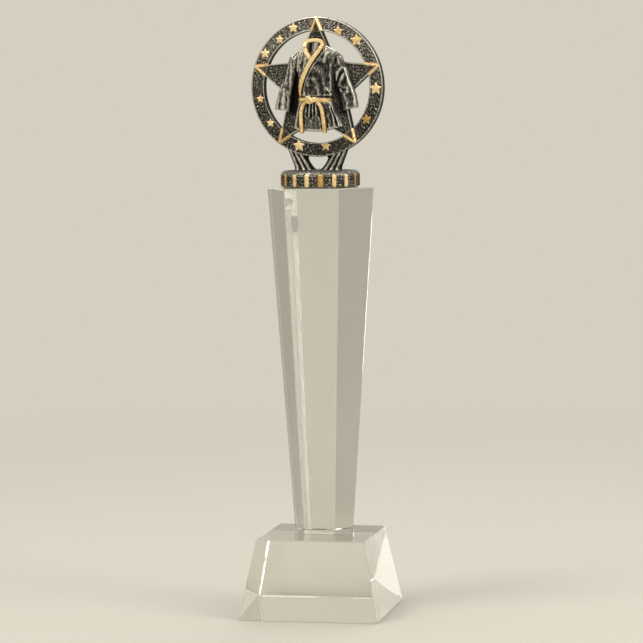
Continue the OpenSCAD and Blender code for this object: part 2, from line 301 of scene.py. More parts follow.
# Topper bond: the same adhesive, in a round film between the column's top and the topper's foot.
# It stops just short of the foot's rim.
round_sides = 96
bond_low, bond_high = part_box("topper_bond")
spread_bond("topper_glue", "topper_bond", (bond_high.x - bond_low.x) / 2, round_sides, 0)


# Foot of the topper: a round disc of cast resin, the lowest part of the one-piece casting.
# Its wall is stippled. The casting is painted silver, blackened, and rubbed bright on what stands out.
# The topper's pieces are shaped in millimetres round the ring's middle, and then put in their place.
foot_top_round = 2.2
foot_low_round = 1.0
foot_bead = 0.2
foot_dome = 0.6
dome_share = 0.6
dome_flat_r = 1
foot_behind = 2.5
stipple_size = 0.8
stipple_reach = 0.9
wall_stipple = 0.4
top_stipple = 0.12
foot_wall_shade = 0.0
foot_rim_highlight = 0.07
foot_top_shade = 0.02
under_rim = 0.5
over_rim = 0.4
topper_turn = math.radians(-8)
cast_edge = math.radians(50)
brush_passes = (2, 120)
silver_black = (0.006, 0.005, 0.004, 1)
silver_grey = (0.088, 0.081, 0.067, 1)
silver_bright = (0.66, 0.635, 0.56, 1)
silver_metal = 0.7
metal_if_bright = 0.2
silver_rough = 0.58
smooth_if_bright = 0.24
grey_range = (-0.3, 0.25)
bright_range = (0.15, 0.85)
pit_size = 0.45 * mm
pit_depth = 0.08 * mm
pit_bump = 0.4
streak_size = 0.8 * mm
streak_squeeze = (1, 1, 0.4)
proud_weight = 3.2
pit_weight = 0.8
streak_weight = 1.6

foot_low, foot_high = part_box("foot_disc")
ring_low, ring_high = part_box("ring")
ring_middle = (ring_low + ring_high) / 2
foot_r = (foot_high.x - foot_low.x) / 2 / mm
foot_h = (foot_high.z - foot_low.z) / mm
ring_over_foot = (ring_middle.z - foot_low.z) / mm


def bend(middle, radius, start, end, steps=5):
    """Points of an arc round a middle, between two angles in degrees."""
    turns = np.radians(np.linspace(start, end, steps + 1))
    return [(middle[0] + radius * math.cos(turn), middle[1] + radius * math.sin(turn)) for turn in turns]


def follow(points, share, smooth=True, steps=16):
    """Places along a line of points, from 0 at its start to 1 at its end, at an even pace."""
    line = np.array(points, float)
    if smooth:
        ends = np.vstack([2 * line[0] - line[1], line, 2 * line[-1] - line[-2]])
        step = np.linspace(0, 1, steps, endpoint=False)[:, None]
        spans = []
        for before, start, end, after in zip(ends, ends[1:], ends[2:], ends[3:]):
            slope = end - before
            curve = 2 * before - 5 * start + 4 * end - after
            twist = 3 * start - before - 3 * end + after
            spans.append(start + (slope * step + curve * step**2 + twist * step**3) / 2)
        line = np.vstack(spans + [line[-1:]])
    lengths = np.linalg.norm(np.diff(line, axis=0), axis=1)
    reach = np.concatenate([[0], np.cumsum(lengths)])
    return np.stack([np.interp(share * reach[-1], reach, axis) for axis in line.T], axis=-1)


def read_points(piece):
    """Places of a piece's points, one in each row."""
    points = np.zeros(len(piece.data.vertices) * 3, np.float32)
    piece.data.vertices.foreach_get("co", points)
    return points.reshape(-1, 3).astype(float)


def put_points(piece, points):
    """Moves a piece's points to the places given."""
    piece.data.vertices.foreach_set("co", points.astype(np.float32).ravel())
    piece.data.update()


def mould(name, around, along, shape):
    """Cuts a cylinder into rings and puts its points where shape says, from their turn and share."""
    piece = add(name, bpy.ops.mesh.primitive_cylinder_add, vertices=around, radius=1, depth=1)
    with editing(piece):
        pick("EDGE", lambda edge: abs(edge.verts[0].co.z - edge.verts[1].co.z) > 0.5)
        bpy.ops.mesh.subdivide(number_cuts=along)
    points = read_points(piece)
    turn = np.arctan2(points[:, 0], -points[:, 1])
    share = points[:, 2] + 0.5
    put_points(piece, shape(turn, share))
    return piece, turn, share


def grain(points, size):
    """Cast grain at each point, from about -1 to 1, with lumps of about the size given."""
    return np.array([mathutils.noise.noise(Vector(point / size)) for point in points])


def store(piece, name, values):
    """Keeps a number for each point of a piece, for its finish to read."""
    layer = piece.data.attributes.new(name, "FLOAT", "POINT")
    layer.data.foreach_set("value", values.astype(np.float32))


def brush_on(piece, reach, shade):
    """Stores how far each point stands out of what lies round it, which is where rubbing reaches, with the
    painted light and shade given added to it.
    """
    mesh = piece.data
    points = read_points(piece)
    edges = np.zeros(len(mesh.edges) * 2, np.int32)
    mesh.edges.foreach_get("vertices", edges)
    first, second = edges.reshape(-1, 2).T
    count = len(points)
    lengths = np.linalg.norm(points[first] - points[second], axis=1)
    passes = int(np.clip((reach / np.median(lengths)) ** 2, *brush_passes))
    ties = np.bincount(edges, minlength=count)
    level = points.copy()
    for _ in range(passes):
        for axis in range(3):
            total = np.bincount(first, level[second, axis], count)
            total += np.bincount(second, level[first, axis], count)
            level[:, axis] = (level[:, axis] + total / ties) / 2
    normals = np.zeros(count * 3, np.float32)
    mesh.vertex_normals.foreach_get("vector", normals)
    proud = ((points - level) * normals.reshape(-1, 3)).sum(axis=1) / reach
    store(piece, "proud", proud + shade)


def set_in_topper(piece, finish, node, reach, shade=0.0, sharp=cast_edge):
    """Turns a piece with its faces outwards, puts it in its place and gives it its finish."""
    with editing(piece):
        bpy.ops.mesh.normals_make_consistent(inside=False)
    brush_on(piece, reach, shade)
    piece.scale = (mm, mm, mm)
    piece.rotation_euler = (0, 0, topper_turn)
    piece.location = ring_middle
    bpy.ops.object.transform_apply(location=True, rotation=True, scale=True)
    bpy.ops.object.shade_smooth_by_angle(angle=sharp)
    fit(piece, finish, node)


silver, place = start_finish("antique_silver")
# The stored number also carries each piece's painted highlights and painted shade
proud = place.stored("proud")
pits = place.noise(pit_size, rough=0.6)
upright = place.node("ShaderNodeVectorMath", {"operation": "MULTIPLY"}, {0: place, 1: streak_squeeze})
streaks = upright.noise(streak_size, detail=4, rough=0.65)
rubbed = proud * proud_weight + (pits - 0.5) * pit_weight + (streaks - 0.5) * streak_weight
grey = rubbed.between(*grey_range)
bright = rubbed.between(*bright_range)
end_finish(
    place,
    {
        "Base Color": bright.blend(grey.blend(silver_black, silver_grey), silver_bright),
        "Metallic": silver_metal + metal_if_bright * bright,
        "Roughness": silver_rough - smooth_if_bright * bright,
        "Normal": pits.bump(pit_bump, pit_depth),
    },
)

wall_top = foot_h - foot_top_round
foot_profile = (
    bend((foot_r - foot_low_round, foot_low_round), foot_low_round, -90, 0)
    + [(foot_r, wall_top - 2 * foot_bead)]
    + bend((foot_r, wall_top - foot_bead), foot_bead, -90, 90)
    + bend((foot_r - foot_top_round, wall_top), foot_top_round, 8, 90, 12)
    + [(foot_r * dome_share, foot_h + foot_dome * dome_share), (dome_flat_r, foot_h + foot_dome)]
)


def foot_shape(turn, share):
    out, up = follow(foot_profile, share, smooth=False).T
    points = np.stack([out * np.sin(turn), -out * np.cos(turn), up], axis=-1)
    on_wall = (up > foot_low_round) & (up < wall_top - 3 * foot_bead)
    rough = grain(points, stipple_size)
    points[:, :2] *= (1 + on_wall * wall_stipple * rough / foot_r)[:, None]
    points[:, 2] += (up > wall_top) * top_stipple * rough
    return points + [0, foot_behind, -ring_over_foot]


foot, _, _ = mould("topper_foot", around=320, along=100, shape=foot_shape)
# A painted highlight on the rounding of the foot's top rim, fading towards the wall and the top
up = read_points(foot)[:, 2] + ring_over_foot
rim_levels = [wall_top - under_rim, wall_top + over_rim, foot_h]
shade = np.interp(up, rim_levels, [foot_wall_shade, foot_rim_highlight, foot_top_shade])
set_in_topper(foot, silver, "foot_disc", stipple_reach, shade)


# Gold bars: eighteen upright bars, cast on the foot's wall and painted gold by hand.
# One bar is wider, and its paint has darkened. The bars that face the sides are painted browner as shade.
bar_count = 18
bar_low = 0.3
bar_high = 6.8
bar_in = foot_r - 0.55
bar_out = foot_r + 0.35
bar_half = math.radians(4.0)
wide_bar = 1
wide_bar_half = math.radians(5.9)
bar_square = 0.35
bar_end_round = 0.45
bar_end_power = 14
bar_wobble = 0.07
wobble_pace = 7
wobble_shift = 5
bar_wear = 0.06
worn_and_shaded_bars = {1: 0.7, 4: 0.75, 5: 1.2, 15: 0.7, 16: 0.6}
gold_light = (0.92, 0.73, 0.40, 1)
gold_deep = (0.62, 0.38, 0.12, 1)
gold_brown = (0.12, 0.05, 0.012, 1)
gold_metal = 0.35
gold_rough = 0.36
rough_if_thin = 0.2
stroke_size = 1.4 * mm
stroke_depth = 0.06 * mm
stroke_bump = 0.3
fleck_size = 0.35 * mm
thin_start = 0.05
thin_by_wear = 0.8
thin_by_stroke = 1.5
thick_if_proud = 1.2
thin_range = (0, 0.5)
bare_by_wear = 0.6
bare_by_fleck = 0.8
bare_by_stroke = 0.6
covered_if_proud = 2.0
bare_range = (0.3, 0.6)
edge_brown = 1.3
edge_start = 0.5
edge_power = 1.5

gold, place = start_finish("gold_paint")
proud = place.stored("proud")
# The stored wear also carries painted shade: on the bars that face the sides, on the chevrons' upper left
# slopes and on one small star
wear_and_shade = place.stored("wear_and_shade")
strokes = place.noise(stroke_size, detail=4, rough=0.6)
flecks = place.noise(fleck_size)
thin = thin_start + wear_and_shade * thin_by_wear + (strokes - 0.5) * thin_by_stroke - proud * thick_if_proud
bare = wear_and_shade * bare_by_wear + (flecks - 0.5) * bare_by_fleck
bare = bare + (strokes - 0.5) * bare_by_stroke - proud * covered_if_proud
darker = thin.between(*thin_range)
paint = darker.blend(gold_light, gold_deep)
end_finish(
    place,
    {
        "Base Color": bare.between(*bare_range).blend(paint, gold_brown),
        "Metallic": gold_metal,
        "Roughness": gold_rough + rough_if_thin * darker,
        "Normal": strokes.bump(stroke_bump, stroke_depth),
    },
)


def squared(wave, power):
    """Swells a sine or cosine, so that a round section turns into one with rounded corners."""
    return np.sign(wave) * np.abs(wave) ** power


def edge_wear(share):
    """Wear of gold paint on a band, from its middle, at 0, to its edge, at 1, where the brown shows."""
    return edge_brown * np.clip((share - edge_start) / (1 - edge_start), 0, 1) ** edge_power


def cast_bar(name, middle, half, wear):
    """An upright bar on the foot's wall, with rounded edges and the wobble of a brush."""

    def shape(turn, share):
        ends = 1 - bar_end_round * np.abs(2 * share - 1) ** bar_end_power
        side = squared(np.sin(turn), bar_square)
        wobble = 1 + bar_wobble * np.sin(wobble_pace * share + wobble_shift * middle) * side
        angle = middle + half * ends * wobble * side
        depth = (bar_out - bar_in) / 2
        up = bar_low + (bar_high - bar_low) * share
        over = np.maximum(up - wall_top, 0)
        below = np.maximum(foot_low_round - up, 0)
        lean_in = foot_top_round - np.sqrt(foot_top_round**2 - over**2)
        lean_in += foot_low_round - np.sqrt(foot_low_round**2 - below**2)
        out = bar_in + depth - lean_in + depth * ends * squared(np.cos(turn), bar_square)
        y = foot_behind - out * np.cos(angle)
        return np.stack([out * np.sin(angle), y, up - ring_over_foot], axis=-1)

    bar, turn, _ = mould(name, around=48, along=24, shape=shape)
    store(bar, "wear_and_shade", wear + edge_wear(np.abs(squared(np.sin(turn), bar_square))))
    return bar


def join(name, pieces):
    """Makes one piece of several."""
    take(pieces[0])
    for piece in pieces:
        piece.select_set(True)
    bpy.ops.object.join()
    pieces[0].name = name
    return pieces[0]


bars = []
for index in range(bar_count):
    middle = math.radians(360 / bar_count) * index
    half = wide_bar_half if index == wide_bar else bar_half
    wear = worn_and_shaded_bars.get(index, bar_wear * (index % 3))
    bars.append(cast_bar(f"bar_{index}", middle, half, wear))
set_in_topper(join("gold_bars", bars), gold, "foot_bars", reach=0.35)


# Struts: two leaning legs between the foot and the ring, part of the same casting.
# Each has three ribs with sharp grooves between them, and a thin web that curves into the ring's rim.
strut_spread = 7.4
strut_half = 4.65
strut_lean = math.radians(28)
strut_fan = math.radians(6)
strut_web = 1.3
strut_rib = 0.85
strut_ribs = 3
rib_power = 0.8
strut_sink = 0.25
strut_skin = 0.01
flare_share = 0.22
flare_w = 0.6
flare_deep = 0.25
strut_thins = 0.15
flange_half_t = 0.8
flange_w = [1.5, 0.9, 0.8, 1.3, 3.4]
rib_rub_and_highlight = 0.32
rib_middle = 0.55
strut_wall_shade = 0.4
ring_r = (ring_high.z - ring_low.z) / 2 / mm
strut_into_ring = ring_r - 0.9
foot_level = foot_h + foot_dome * dome_share - ring_over_foot

rib_steps = np.linspace(-1, 1, 61)
rib_heights = strut_web + strut_rib * np.abs(np.cos(strut_ribs * math.pi / 2 * rib_steps)) ** rib_power
strut_front = list(zip(strut_half * rib_steps, rib_heights))
strut_back = [(out, -deep) for out, deep in reversed(strut_front)]
flange = [(out, deep * flange_half_t) for out, deep in ((0, -1), (-1, -1), (-1, 1), (0, 1))]
flange = [(out - strut_half, deep) for out, deep in flange]
strut_section = strut_front + strut_back + flange + strut_front[:1]


def evenly(share, values):
    """Reads values that are given at even steps along a piece."""
    return np.interp(share, np.linspace(0, 1, len(values)), values)


def cast_strut(name, side):
    """A strut from the foot's top to inside the ring's rim, and its painted light and shade: the ribs are
    rubbed bright and painted as highlights, the grooves darker, and the side walls and the web are in
    painted shade.
    """

    def section(turn):
        return follow(strut_section, side * turn / (2 * math.pi) % 1, smooth=False).T

    def shape(turn, share):
        out, deep = section(turn)
        across = np.clip(out / strut_half, -1, 1)
        past = np.minimum(out + strut_half, 0)
        out = across * strut_half + past * evenly(share, flange_w)
        lean = strut_lean - strut_fan * across
        way = np.stack([side * np.sin(lean), np.cos(lean)], axis=-1)
        flare = np.clip(1 - share / flare_share, 0, 1) ** 2
        foot_x = side * (strut_spread + out + flare_w * flare * across)
        start = np.stack([foot_x, np.full_like(share, foot_level)], axis=-1)
        along = -(start * way).sum(axis=1)
        miss = (start**2).sum(axis=1) - along**2
        run = along - np.sqrt(strut_into_ring**2 - miss)
        end = start + (run * share - strut_sink)[:, None] * way
        y = -deep * (1 + flare_deep * flare - strut_thins * share)
        return np.stack([end[:, 0], y, end[:, 1]], axis=-1)

    strut, turn, _ = mould(name, around=168, along=40, shape=shape)
    out, deep = section(turn)
    rise = np.maximum((np.abs(deep) - strut_web) / strut_rib, 0)
    on_wall = np.abs(out) > strut_half - strut_skin
    return strut, rib_rub_and_highlight * (rise - rib_middle) - strut_wall_shade * on_wall


for side, name, node in ((-1, "left_leg", "left_strut"), (1, "right_leg", "right_strut")):
    strut, shade = cast_strut(name, side)
    set_in_topper(strut, silver, node, reach=1.5, shade=shade)


# Ring: a flat band, part of the casting. A narrow raised rim runs along each edge of the band,
# and the sunk ground between the rims is stippled, on the front and on the back.
band_half = 3.6
ring_mid_r = ring_r - band_half
ring_half_t = 2.0
ring_round = 0.3
rim_w = 0.45
rim_slope = 0.15
ground_depth = 0.42
ground_stipple = 0.5
ground_margin = 0.25
edge_stipple = 0.1
rim_rub_and_highlight = 0.12
edge_shade = 0.05
bore_shade = 0.5
painted_top_light = 0.09
painted_top_light_start = 0.4
bore_skin = 0.1
edge_skin = 0.12

rim_in = band_half - ring_round - rim_w
ground_top = ring_half_t - ground_depth
quarter = (
    [(band_half, 0)]
    + bend((band_half - ring_round, ring_half_t - ring_round), ring_round, 0, 90, 3)
    + [(rim_in, ring_half_t), (rim_in - rim_slope, ground_top), (0, ground_top)]
)
front_half = quarter + [(-out, deep) for out, deep in reversed(quarter[:-1])]
ring_section = front_half + [(out, -deep) for out, deep in reversed(front_half[:-1])]

torus = bpy.ops.mesh.primitive_torus_add
band = add("ring_band", torus, major_segments=860, minor_segments=92, major_radius=1, minor_radius=0.3)
points = read_points(band)
angle = np.arctan2(points[:, 1], points[:, 0])
turn = np.arctan2(points[:, 2], np.hypot(points[:, 0], points[:, 1]) - 1)
out, deep = follow(ring_section, turn / (2 * math.pi) % 1, smooth=False).T
radius = ring_mid_r + out
points = np.stack([radius * np.cos(angle), -deep, radius * np.sin(angle)], axis=-1)
ground = (np.abs(out) < rim_in - ground_margin) & (np.abs(deep) > ring_half_t / 2)
rough = grain(points, stipple_size)
points[:, 1] += ground * ground_stipple * rough
points[:, [0, 2]] *= (1 + (out == band_half) * edge_stipple * rough / radius)[:, None]
put_points(band, points)

# Painted light and shade: the raised rims are rubbed bright and painted as highlights, the bore and the
# outer wall are painted in shade, and the upper part of the band is painted lighter
rest = read_points(band)
out = np.hypot(rest[:, 0], rest[:, 2]) - ring_mid_r
on_rim = (np.abs(out) > rim_in) & (np.abs(rest[:, 1]) > ring_half_t - ring_round)
in_bore = (out < bore_skin - band_half) | ((out < ring_round - band_half) & (rest[:, 1] > 0))
on_edge = (out > band_half - edge_skin) & (np.abs(rest[:, 1]) < ring_half_t - ring_round)
shade = rim_rub_and_highlight * on_rim - bore_shade * in_bore - edge_shade * on_edge
shade += painted_top_light * np.clip(rest[:, 2] / ring_r + painted_top_light_start, 0, 1)
set_in_topper(band, silver, "ring", stipple_reach, shade)


# Star: a flat five-pointed star that fills the ring, part of the casting.
# A thin raised line follows its outline, and its ground is stippled on both faces.
star_tip_r = ring_r - 0.55
star_corner_r = 16.4
star_half_t = 2.3
star_line_w = 0.55
star_line_slope = 0.25
star_skin = 0.05
star_rim = 0.3
star_stipple = 0.3
star_tips = 5
star_cuts = 62
near_ring = 1.2
ring_lift = 0.7
line_rub_and_highlight = 0.32
star_wall_shade = 0.5
star_ground_shade = 0.03
# Painted shadow along the gaps between the sleeves and the body, on the star's front
gap_shade = 0.4
gap_w = 1.7
sleeve_gaps = [
    [(-10.3, 8.5), (-11.2, 2.0), (-12.2, -5.0), (-12.8, -12.0)],
    [(11.6, 6.5), (12.4, 0.0), (14.0, -6.0), (15.2, -12.0)],
]
wall_step = 1.1
wall_cuts = 6
far_back = 100


def star_sheet(name, tip_r, corner_r, cuts):
    """Lays a flat star, first tip away from the viewer, that is cut into even squares."""

    def is_corner(vertex):
        turn = math.atan2(vertex.co.x, vertex.co.y) * star_tips / (2 * math.pi)
        return vertex.co.length > tip_r / 2 and abs(turn - round(turn)) > 0.1

    def joins_tip(edge):
        near, far = sorted(vertex.co.length for vertex in edge.verts)
        return near < tip_r / 100 and far > corner_r * 1.2

    shrink = corner_r / tip_r
    circle = bpy.ops.mesh.primitive_circle_add
    piece = add(name, circle, vertices=2 * star_tips, radius=tip_r, fill_type="TRIFAN")
    with editing(piece):
        pick("VERT", is_corner)
        bpy.ops.transform.resize(value=(shrink, shrink, 1), center_override=(0, 0, 0))
        pick("EDGE", joins_tip)
        bpy.ops.mesh.dissolve_edges()
        bpy.ops.mesh.select_all(action="SELECT")
        bpy.ops.mesh.subdivide(number_cuts=cuts)
    return piece


def from_line(x, z, line):
    """Distance of places in the front view from a line of points."""
    reach = []
    for start, end in zip(np.array(line, float), np.array(line[1:], float)):
        way = end - start
        share = np.clip(((x - start[0]) * way[0] + (z - start[1]) * way[1]) / (way @ way), 0, 1)
        reach.append(np.hypot(x - start[0] - share * way[0], z - start[1] - share * way[1]))
    return np.min(reach, axis=0)


def star_outline(tip_r, corner_r):
    """Corners of a star in the front view, from its top tip round to the left."""
    turns = [math.pi / 2 + math.pi / star_tips * index for index in range(2 * star_tips)]
    reach = [corner_r if index % 2 else tip_r for index in range(2 * star_tips)]
    return [(far * math.cos(turn), far * math.sin(turn)) for far, turn in zip(reach, turns)]


def thicken(piece, back):
    """Draws a sheet's faces back to a place that depends on where the front points are."""
    with editing(piece):
        bpy.ops.mesh.extrude_region_move(TRANSFORM_OT_translate={"value": (0, far_back, 0)})
    points = read_points(piece)
    moved = points[:, 1] > far_back / 2
    points[moved, 1] = back(points[moved] - [0, far_back, 0])
    put_points(piece, points)
    with editing(piece):
        pick("EDGE", lambda edge: abs(edge.verts[0].co.y - edge.verts[1].co.y) > wall_step)
        bpy.ops.mesh.subdivide(number_cuts=wall_cuts)


star = star_sheet("star_plate", star_tip_r, star_corner_r, star_cuts)
corners = star_outline(star_tip_r, star_corner_r)
star_edge = corners + corners[:1]
x, z, _ = read_points(star).T
over_ring = np.clip(np.hypot(x, z) - ring_r + 2 * band_half + near_ring, 0, 1)
sunk = np.clip((from_line(x, z, star_edge) - star_line_w) / star_line_slope, 0, 1)
sunk *= 1 - ring_lift * over_ring
rough = star_stipple * grain(read_points(star), stipple_size) * sunk
put_points(star, np.stack([x, -star_half_t + ground_depth * sunk + rough, z], axis=-1))
thicken(star, lambda points: -points[:, 1])

x, y, z = read_points(star).T
from_edge = from_line(x, z, star_edge)
on_wall = (from_edge < star_skin) & (np.abs(y) < star_half_t - star_rim)
on_line = (from_edge < star_line_w) & ~on_wall
# The raised outline is rubbed bright and painted as a highlight, and the walls are painted in shade
shade = star_ground_shade + (line_rub_and_highlight - star_ground_shade) * on_line - star_wall_shade * on_wall
for gap in sleeve_gaps:
    shade = shade - gap_shade * np.exp(-((from_line(x, z, gap) / gap_w) ** 2)) * (y < 0)
set_in_topper(star, silver, "star", stipple_reach, shade)


# Gold chevrons: a ridge like a roof along both edges of each of the star's tips, where it crosses the ring.
# They are cast with the star and painted gold. The slopes that face up and left are painted brown as shade.
chevron_half_w = 1.1
chevron_h = 0.7
chevron_outer_fall = 0.75
chevron_inner_fall = 0.3
chevron_root = 1.2
chevron_end_round = 0.4
chevron_end_power = 16
chevron_curve = 1.2
chevron_start_r = ring_r - 7.3
chevron_wear = 0.06
# Painted shade on the slopes that face up and left
shade_from = np.array([-0.8, 0.6])
slope_shade = 0.75
slope_shade_start = 0.1
thin_edge = 0.5


def chevron_leg(name, start, end, inside, wear):
    """A ridge along the star's edge between two places, with one slope on the star and one on the ring."""
    way = (end - start) / np.linalg.norm(end - start)
    side = np.array([way[1], -way[0]])
    side = side * np.sign(side @ inside)

    def slope_at(turn):
        return np.arcsin(np.sin(turn)) * 2 / math.pi

    def shape(turn, share):
        ends = 1 - chevron_end_round * np.abs(2 * share - 1) ** chevron_end_power
        slope = slope_at(turn)
        middle = start + share[:, None] * (end - start)
        x, z = (middle + (slope * chevron_half_w * ends)[:, None] * side).T
        fall = np.where(slope < 0, chevron_outer_fall, chevron_inner_fall)
        roof = chevron_h * ends - (chevron_h + fall) * np.abs(slope) ** chevron_curve
        rise = np.where(np.cos(turn) > 0, roof, -chevron_root)
        return np.stack([x, -star_half_t - rise, z], axis=-1)

    leg, turn, _ = mould(name, around=36, along=28, shape=shape)
    slope = slope_at(turn)
    shaded = np.clip(np.sign(slope) * (side @ shade_from), 0, 1) * (np.abs(slope) > slope_shade_start)
    store(leg, "wear_and_shade", wear + thin_edge * edge_wear(np.abs(slope)) + slope_shade * shaded)
    return leg


legs = []
for index in range(0, 2 * star_tips, 2):
    tip = np.array(corners[index])
    for corner in (corners[index - 1], corners[index + 1]):
        edge = np.array(corner) - tip
        edge = edge / np.linalg.norm(edge)
        lean = tip @ edge
        run = -lean - math.sqrt(chevron_start_r**2 - tip @ tip + lean**2)
        inside = -tip - edge * (-tip @ edge)
        wear = chevron_wear * (len(legs) % 4)
        legs.append(chevron_leg(f"leg_{len(legs)}", tip + edge * run, tip, inside, wear))
set_in_topper(join("gold_chevrons", legs), gold, "tip_chevrons", reach=0.4)


# Small stars: eleven upright stars of three sizes, cast on the ring's front and painted gold.
# They swell to a low point in the middle, end at the ring's edges, and one, low on the right, is painted
# dark brown as shade.
wide_star_w = 6.9
small_star_w = 5.7
tiny_star_w = 4.8
star_trim = 0.15
small_star_waist = 0.55
small_star_h = 0.85
small_star_edge = 0.4
small_star_slope = 0.3
small_star_root = 0.5
small_star_sink = 0.25
small_star_wear = 0.1
# A star low on the right, painted dark brown as shade
shaded_star = 328
shaded_star_darkening = 0.75
small_stars = [
    (47, -0.1, wide_star_w),
    (67, -1.5, small_star_w),
    (112, 0.4, small_star_w),
    (129, -0.9, tiny_star_w),
    (148, 0.5, small_star_w),
    (191, -1.0, tiny_star_w),
    (216, -1.0, tiny_star_w),
    (252, -0.6, wide_star_w),
    (279, -1.6, small_star_w),
    (shaded_star, -0.7, small_star_w),
    (358, -0.1, wide_star_w),
]

pattern = star_sheet("star_pattern", 1, small_star_waist, 11)
unit_edge = star_outline(1, small_star_waist)
unit_edge += unit_edge[:1]
x, z, _ = read_points(pattern).T
swell = np.sqrt(np.clip(from_line(x, z, unit_edge) / small_star_slope, 0, 1))
swell = small_star_edge + (small_star_h - small_star_edge) * swell
put_points(pattern, np.stack([x, -swell, z], axis=-1))
thicken(pattern, lambda points: np.full(len(points), small_star_root))
x, _, z = read_points(pattern).T
rim_wear = thin_edge * edge_wear(1 - from_line(x, z, unit_edge) / small_star_slope)
gold_stars = []
for angle, outwards, width in small_stars:
    star_copy = pattern.copy()
    star_copy.data = pattern.data.copy()
    bpy.context.scene.collection.objects.link(star_copy)
    turn = math.radians(angle)
    radius = ring_mid_r + outwards
    points = read_points(star_copy) * [width / 2, 1, width / 2]
    points += [radius * math.cos(turn), small_star_sink - ring_half_t, radius * math.sin(turn)]
    out = np.hypot(points[:, 0], points[:, 2])
    kept = np.clip(out, ring_r - 2 * band_half + star_trim, ring_r - star_trim)
    points[:, [0, 2]] *= (kept / out)[:, None]
    put_points(star_copy, points)
    wear = shaded_star_darkening if angle == shaded_star else small_star_wear * (angle % 4)
    store(star_copy, "wear_and_shade", rim_wear + wear)
    gold_stars.append(star_copy)
bpy.data.objects.remove(pattern)
set_in_topper(join("gold_stars", gold_stars), gold, "ring_stars", reach=0.4)


# Neck lining: the inside of the jacket's back, which shows in the neck, part of the casting.
# It is hollow in the middle, with one upright fold.
jacket_x = 0.7
panel_sink = 0.35
lining_left = [(-2.0, 14.2), (-4.3, 17.8), (-4.9, 20.6), (-3.6, 23.4)]
lining_right = [(-1.2, 14.2), (1.4, 17.2), (4.2, 20.6), (3.4, 23.4)]
lining_folds = [
    ([(-0.2, 22.8), (-0.4, 20.6), (-1.0, 17.8)], 1.7, 1.2),
    ([(-2.8, 21.8), (-2.6, 18.6)], 0.6, -0.5),
]
lining_fold_highlight = 0.7
lining_fold_highlight_w = 1.2
lining_shade = 0.05
lining_h = 1.5
lining_hollow = 0.9
back_stipple = 0.12
cloth_edge = math.radians(70)


def on_star(x, height, z):
    """Puts places on the jacket, given by their height over the star's face, in the ring's frame."""
    return np.stack([x + jacket_x, -star_half_t - height, z], axis=-1)


def folds(strokes, x, z):
    """Height that folds add in the front view. Each is a line of points, a width and a height."""
    total = np.zeros_like(x)
    for line, width, height in strokes:
        total += height * np.exp(-((from_line(x, z, line) / width) ** 2))
    return total


def painted_light_and_shade(piece, shade, strokes):
    """How bright a piece of the jacket is painted, with painted highlights and shade laid on in strokes,
    given in the way of folds.
    """
    rest = read_points(piece)
    return shade + folds(strokes, rest[:, 0] - jacket_x, rest[:, 2])


def between_lines(first, second, across, along):
    """Places in the front view on straight ties from one curved line to another, and the ties' length."""
    start = follow(first, along)
    tie = follow(second, along) - start
    place = start + across[:, None] * tie
    return place[:, 0], place[:, 1], np.linalg.norm(tie, axis=1)


def sheet(name, columns, rows, shape):
    """Puts a grid's points where shape says, from their shares, and draws it back into the star."""
    grid = bpy.ops.mesh.primitive_grid_add
    piece = add(name, grid, x_subdivisions=columns, y_subdivisions=rows, size=1)
    points = read_points(piece) + 0.5
    put_points(piece, shape(points[:, 0], points[:, 1]))
    thicken(piece, lambda points: panel_sink - star_half_t + back_stipple * grain(points, stipple_size))
    return piece


def lining_shape(across, along):
    x, z, _ = between_lines(lining_left, lining_right, across, along)
    height = lining_h + lining_hollow * np.abs(2 * across - 1) ** 2
    return on_star(x, height + folds(lining_folds, x, z), z)


lining = sheet("jacket_lining", columns=48, rows=56, shape=lining_shape)
# A painted reflection along the upright fold
shade = painted_light_and_shade(lining, lining_shade, [(lining_folds[0][0], lining_fold_highlight_w, lining_fold_highlight)])
set_in_topper(lining, silver, "neck_lining", reach=1.4, shade=shade, sharp=cloth_edge)


# Front panels: the two sides of the jacket, cast in relief on the star. The right one closes over
# the left one. Both are bowed over the chest, roll back at the shoulders and have the folds of thick cloth.
chest_bow_w = 25
chest_depth = 5.2
panel_h = 26
panel_dents = 0.34
dent_size = 2.1
fine_dent_size = 1.0
fine_dents = 0.7
dent_stretch = 0.6
shoulder_roll = 3.2
shoulder_low = 0.1
armhole_round = 1.1
armhole_low = 0.35
under_step = 0.35
under_round = 0.7
under_low = 0.55
under_top = 13
over_shade = 0.02
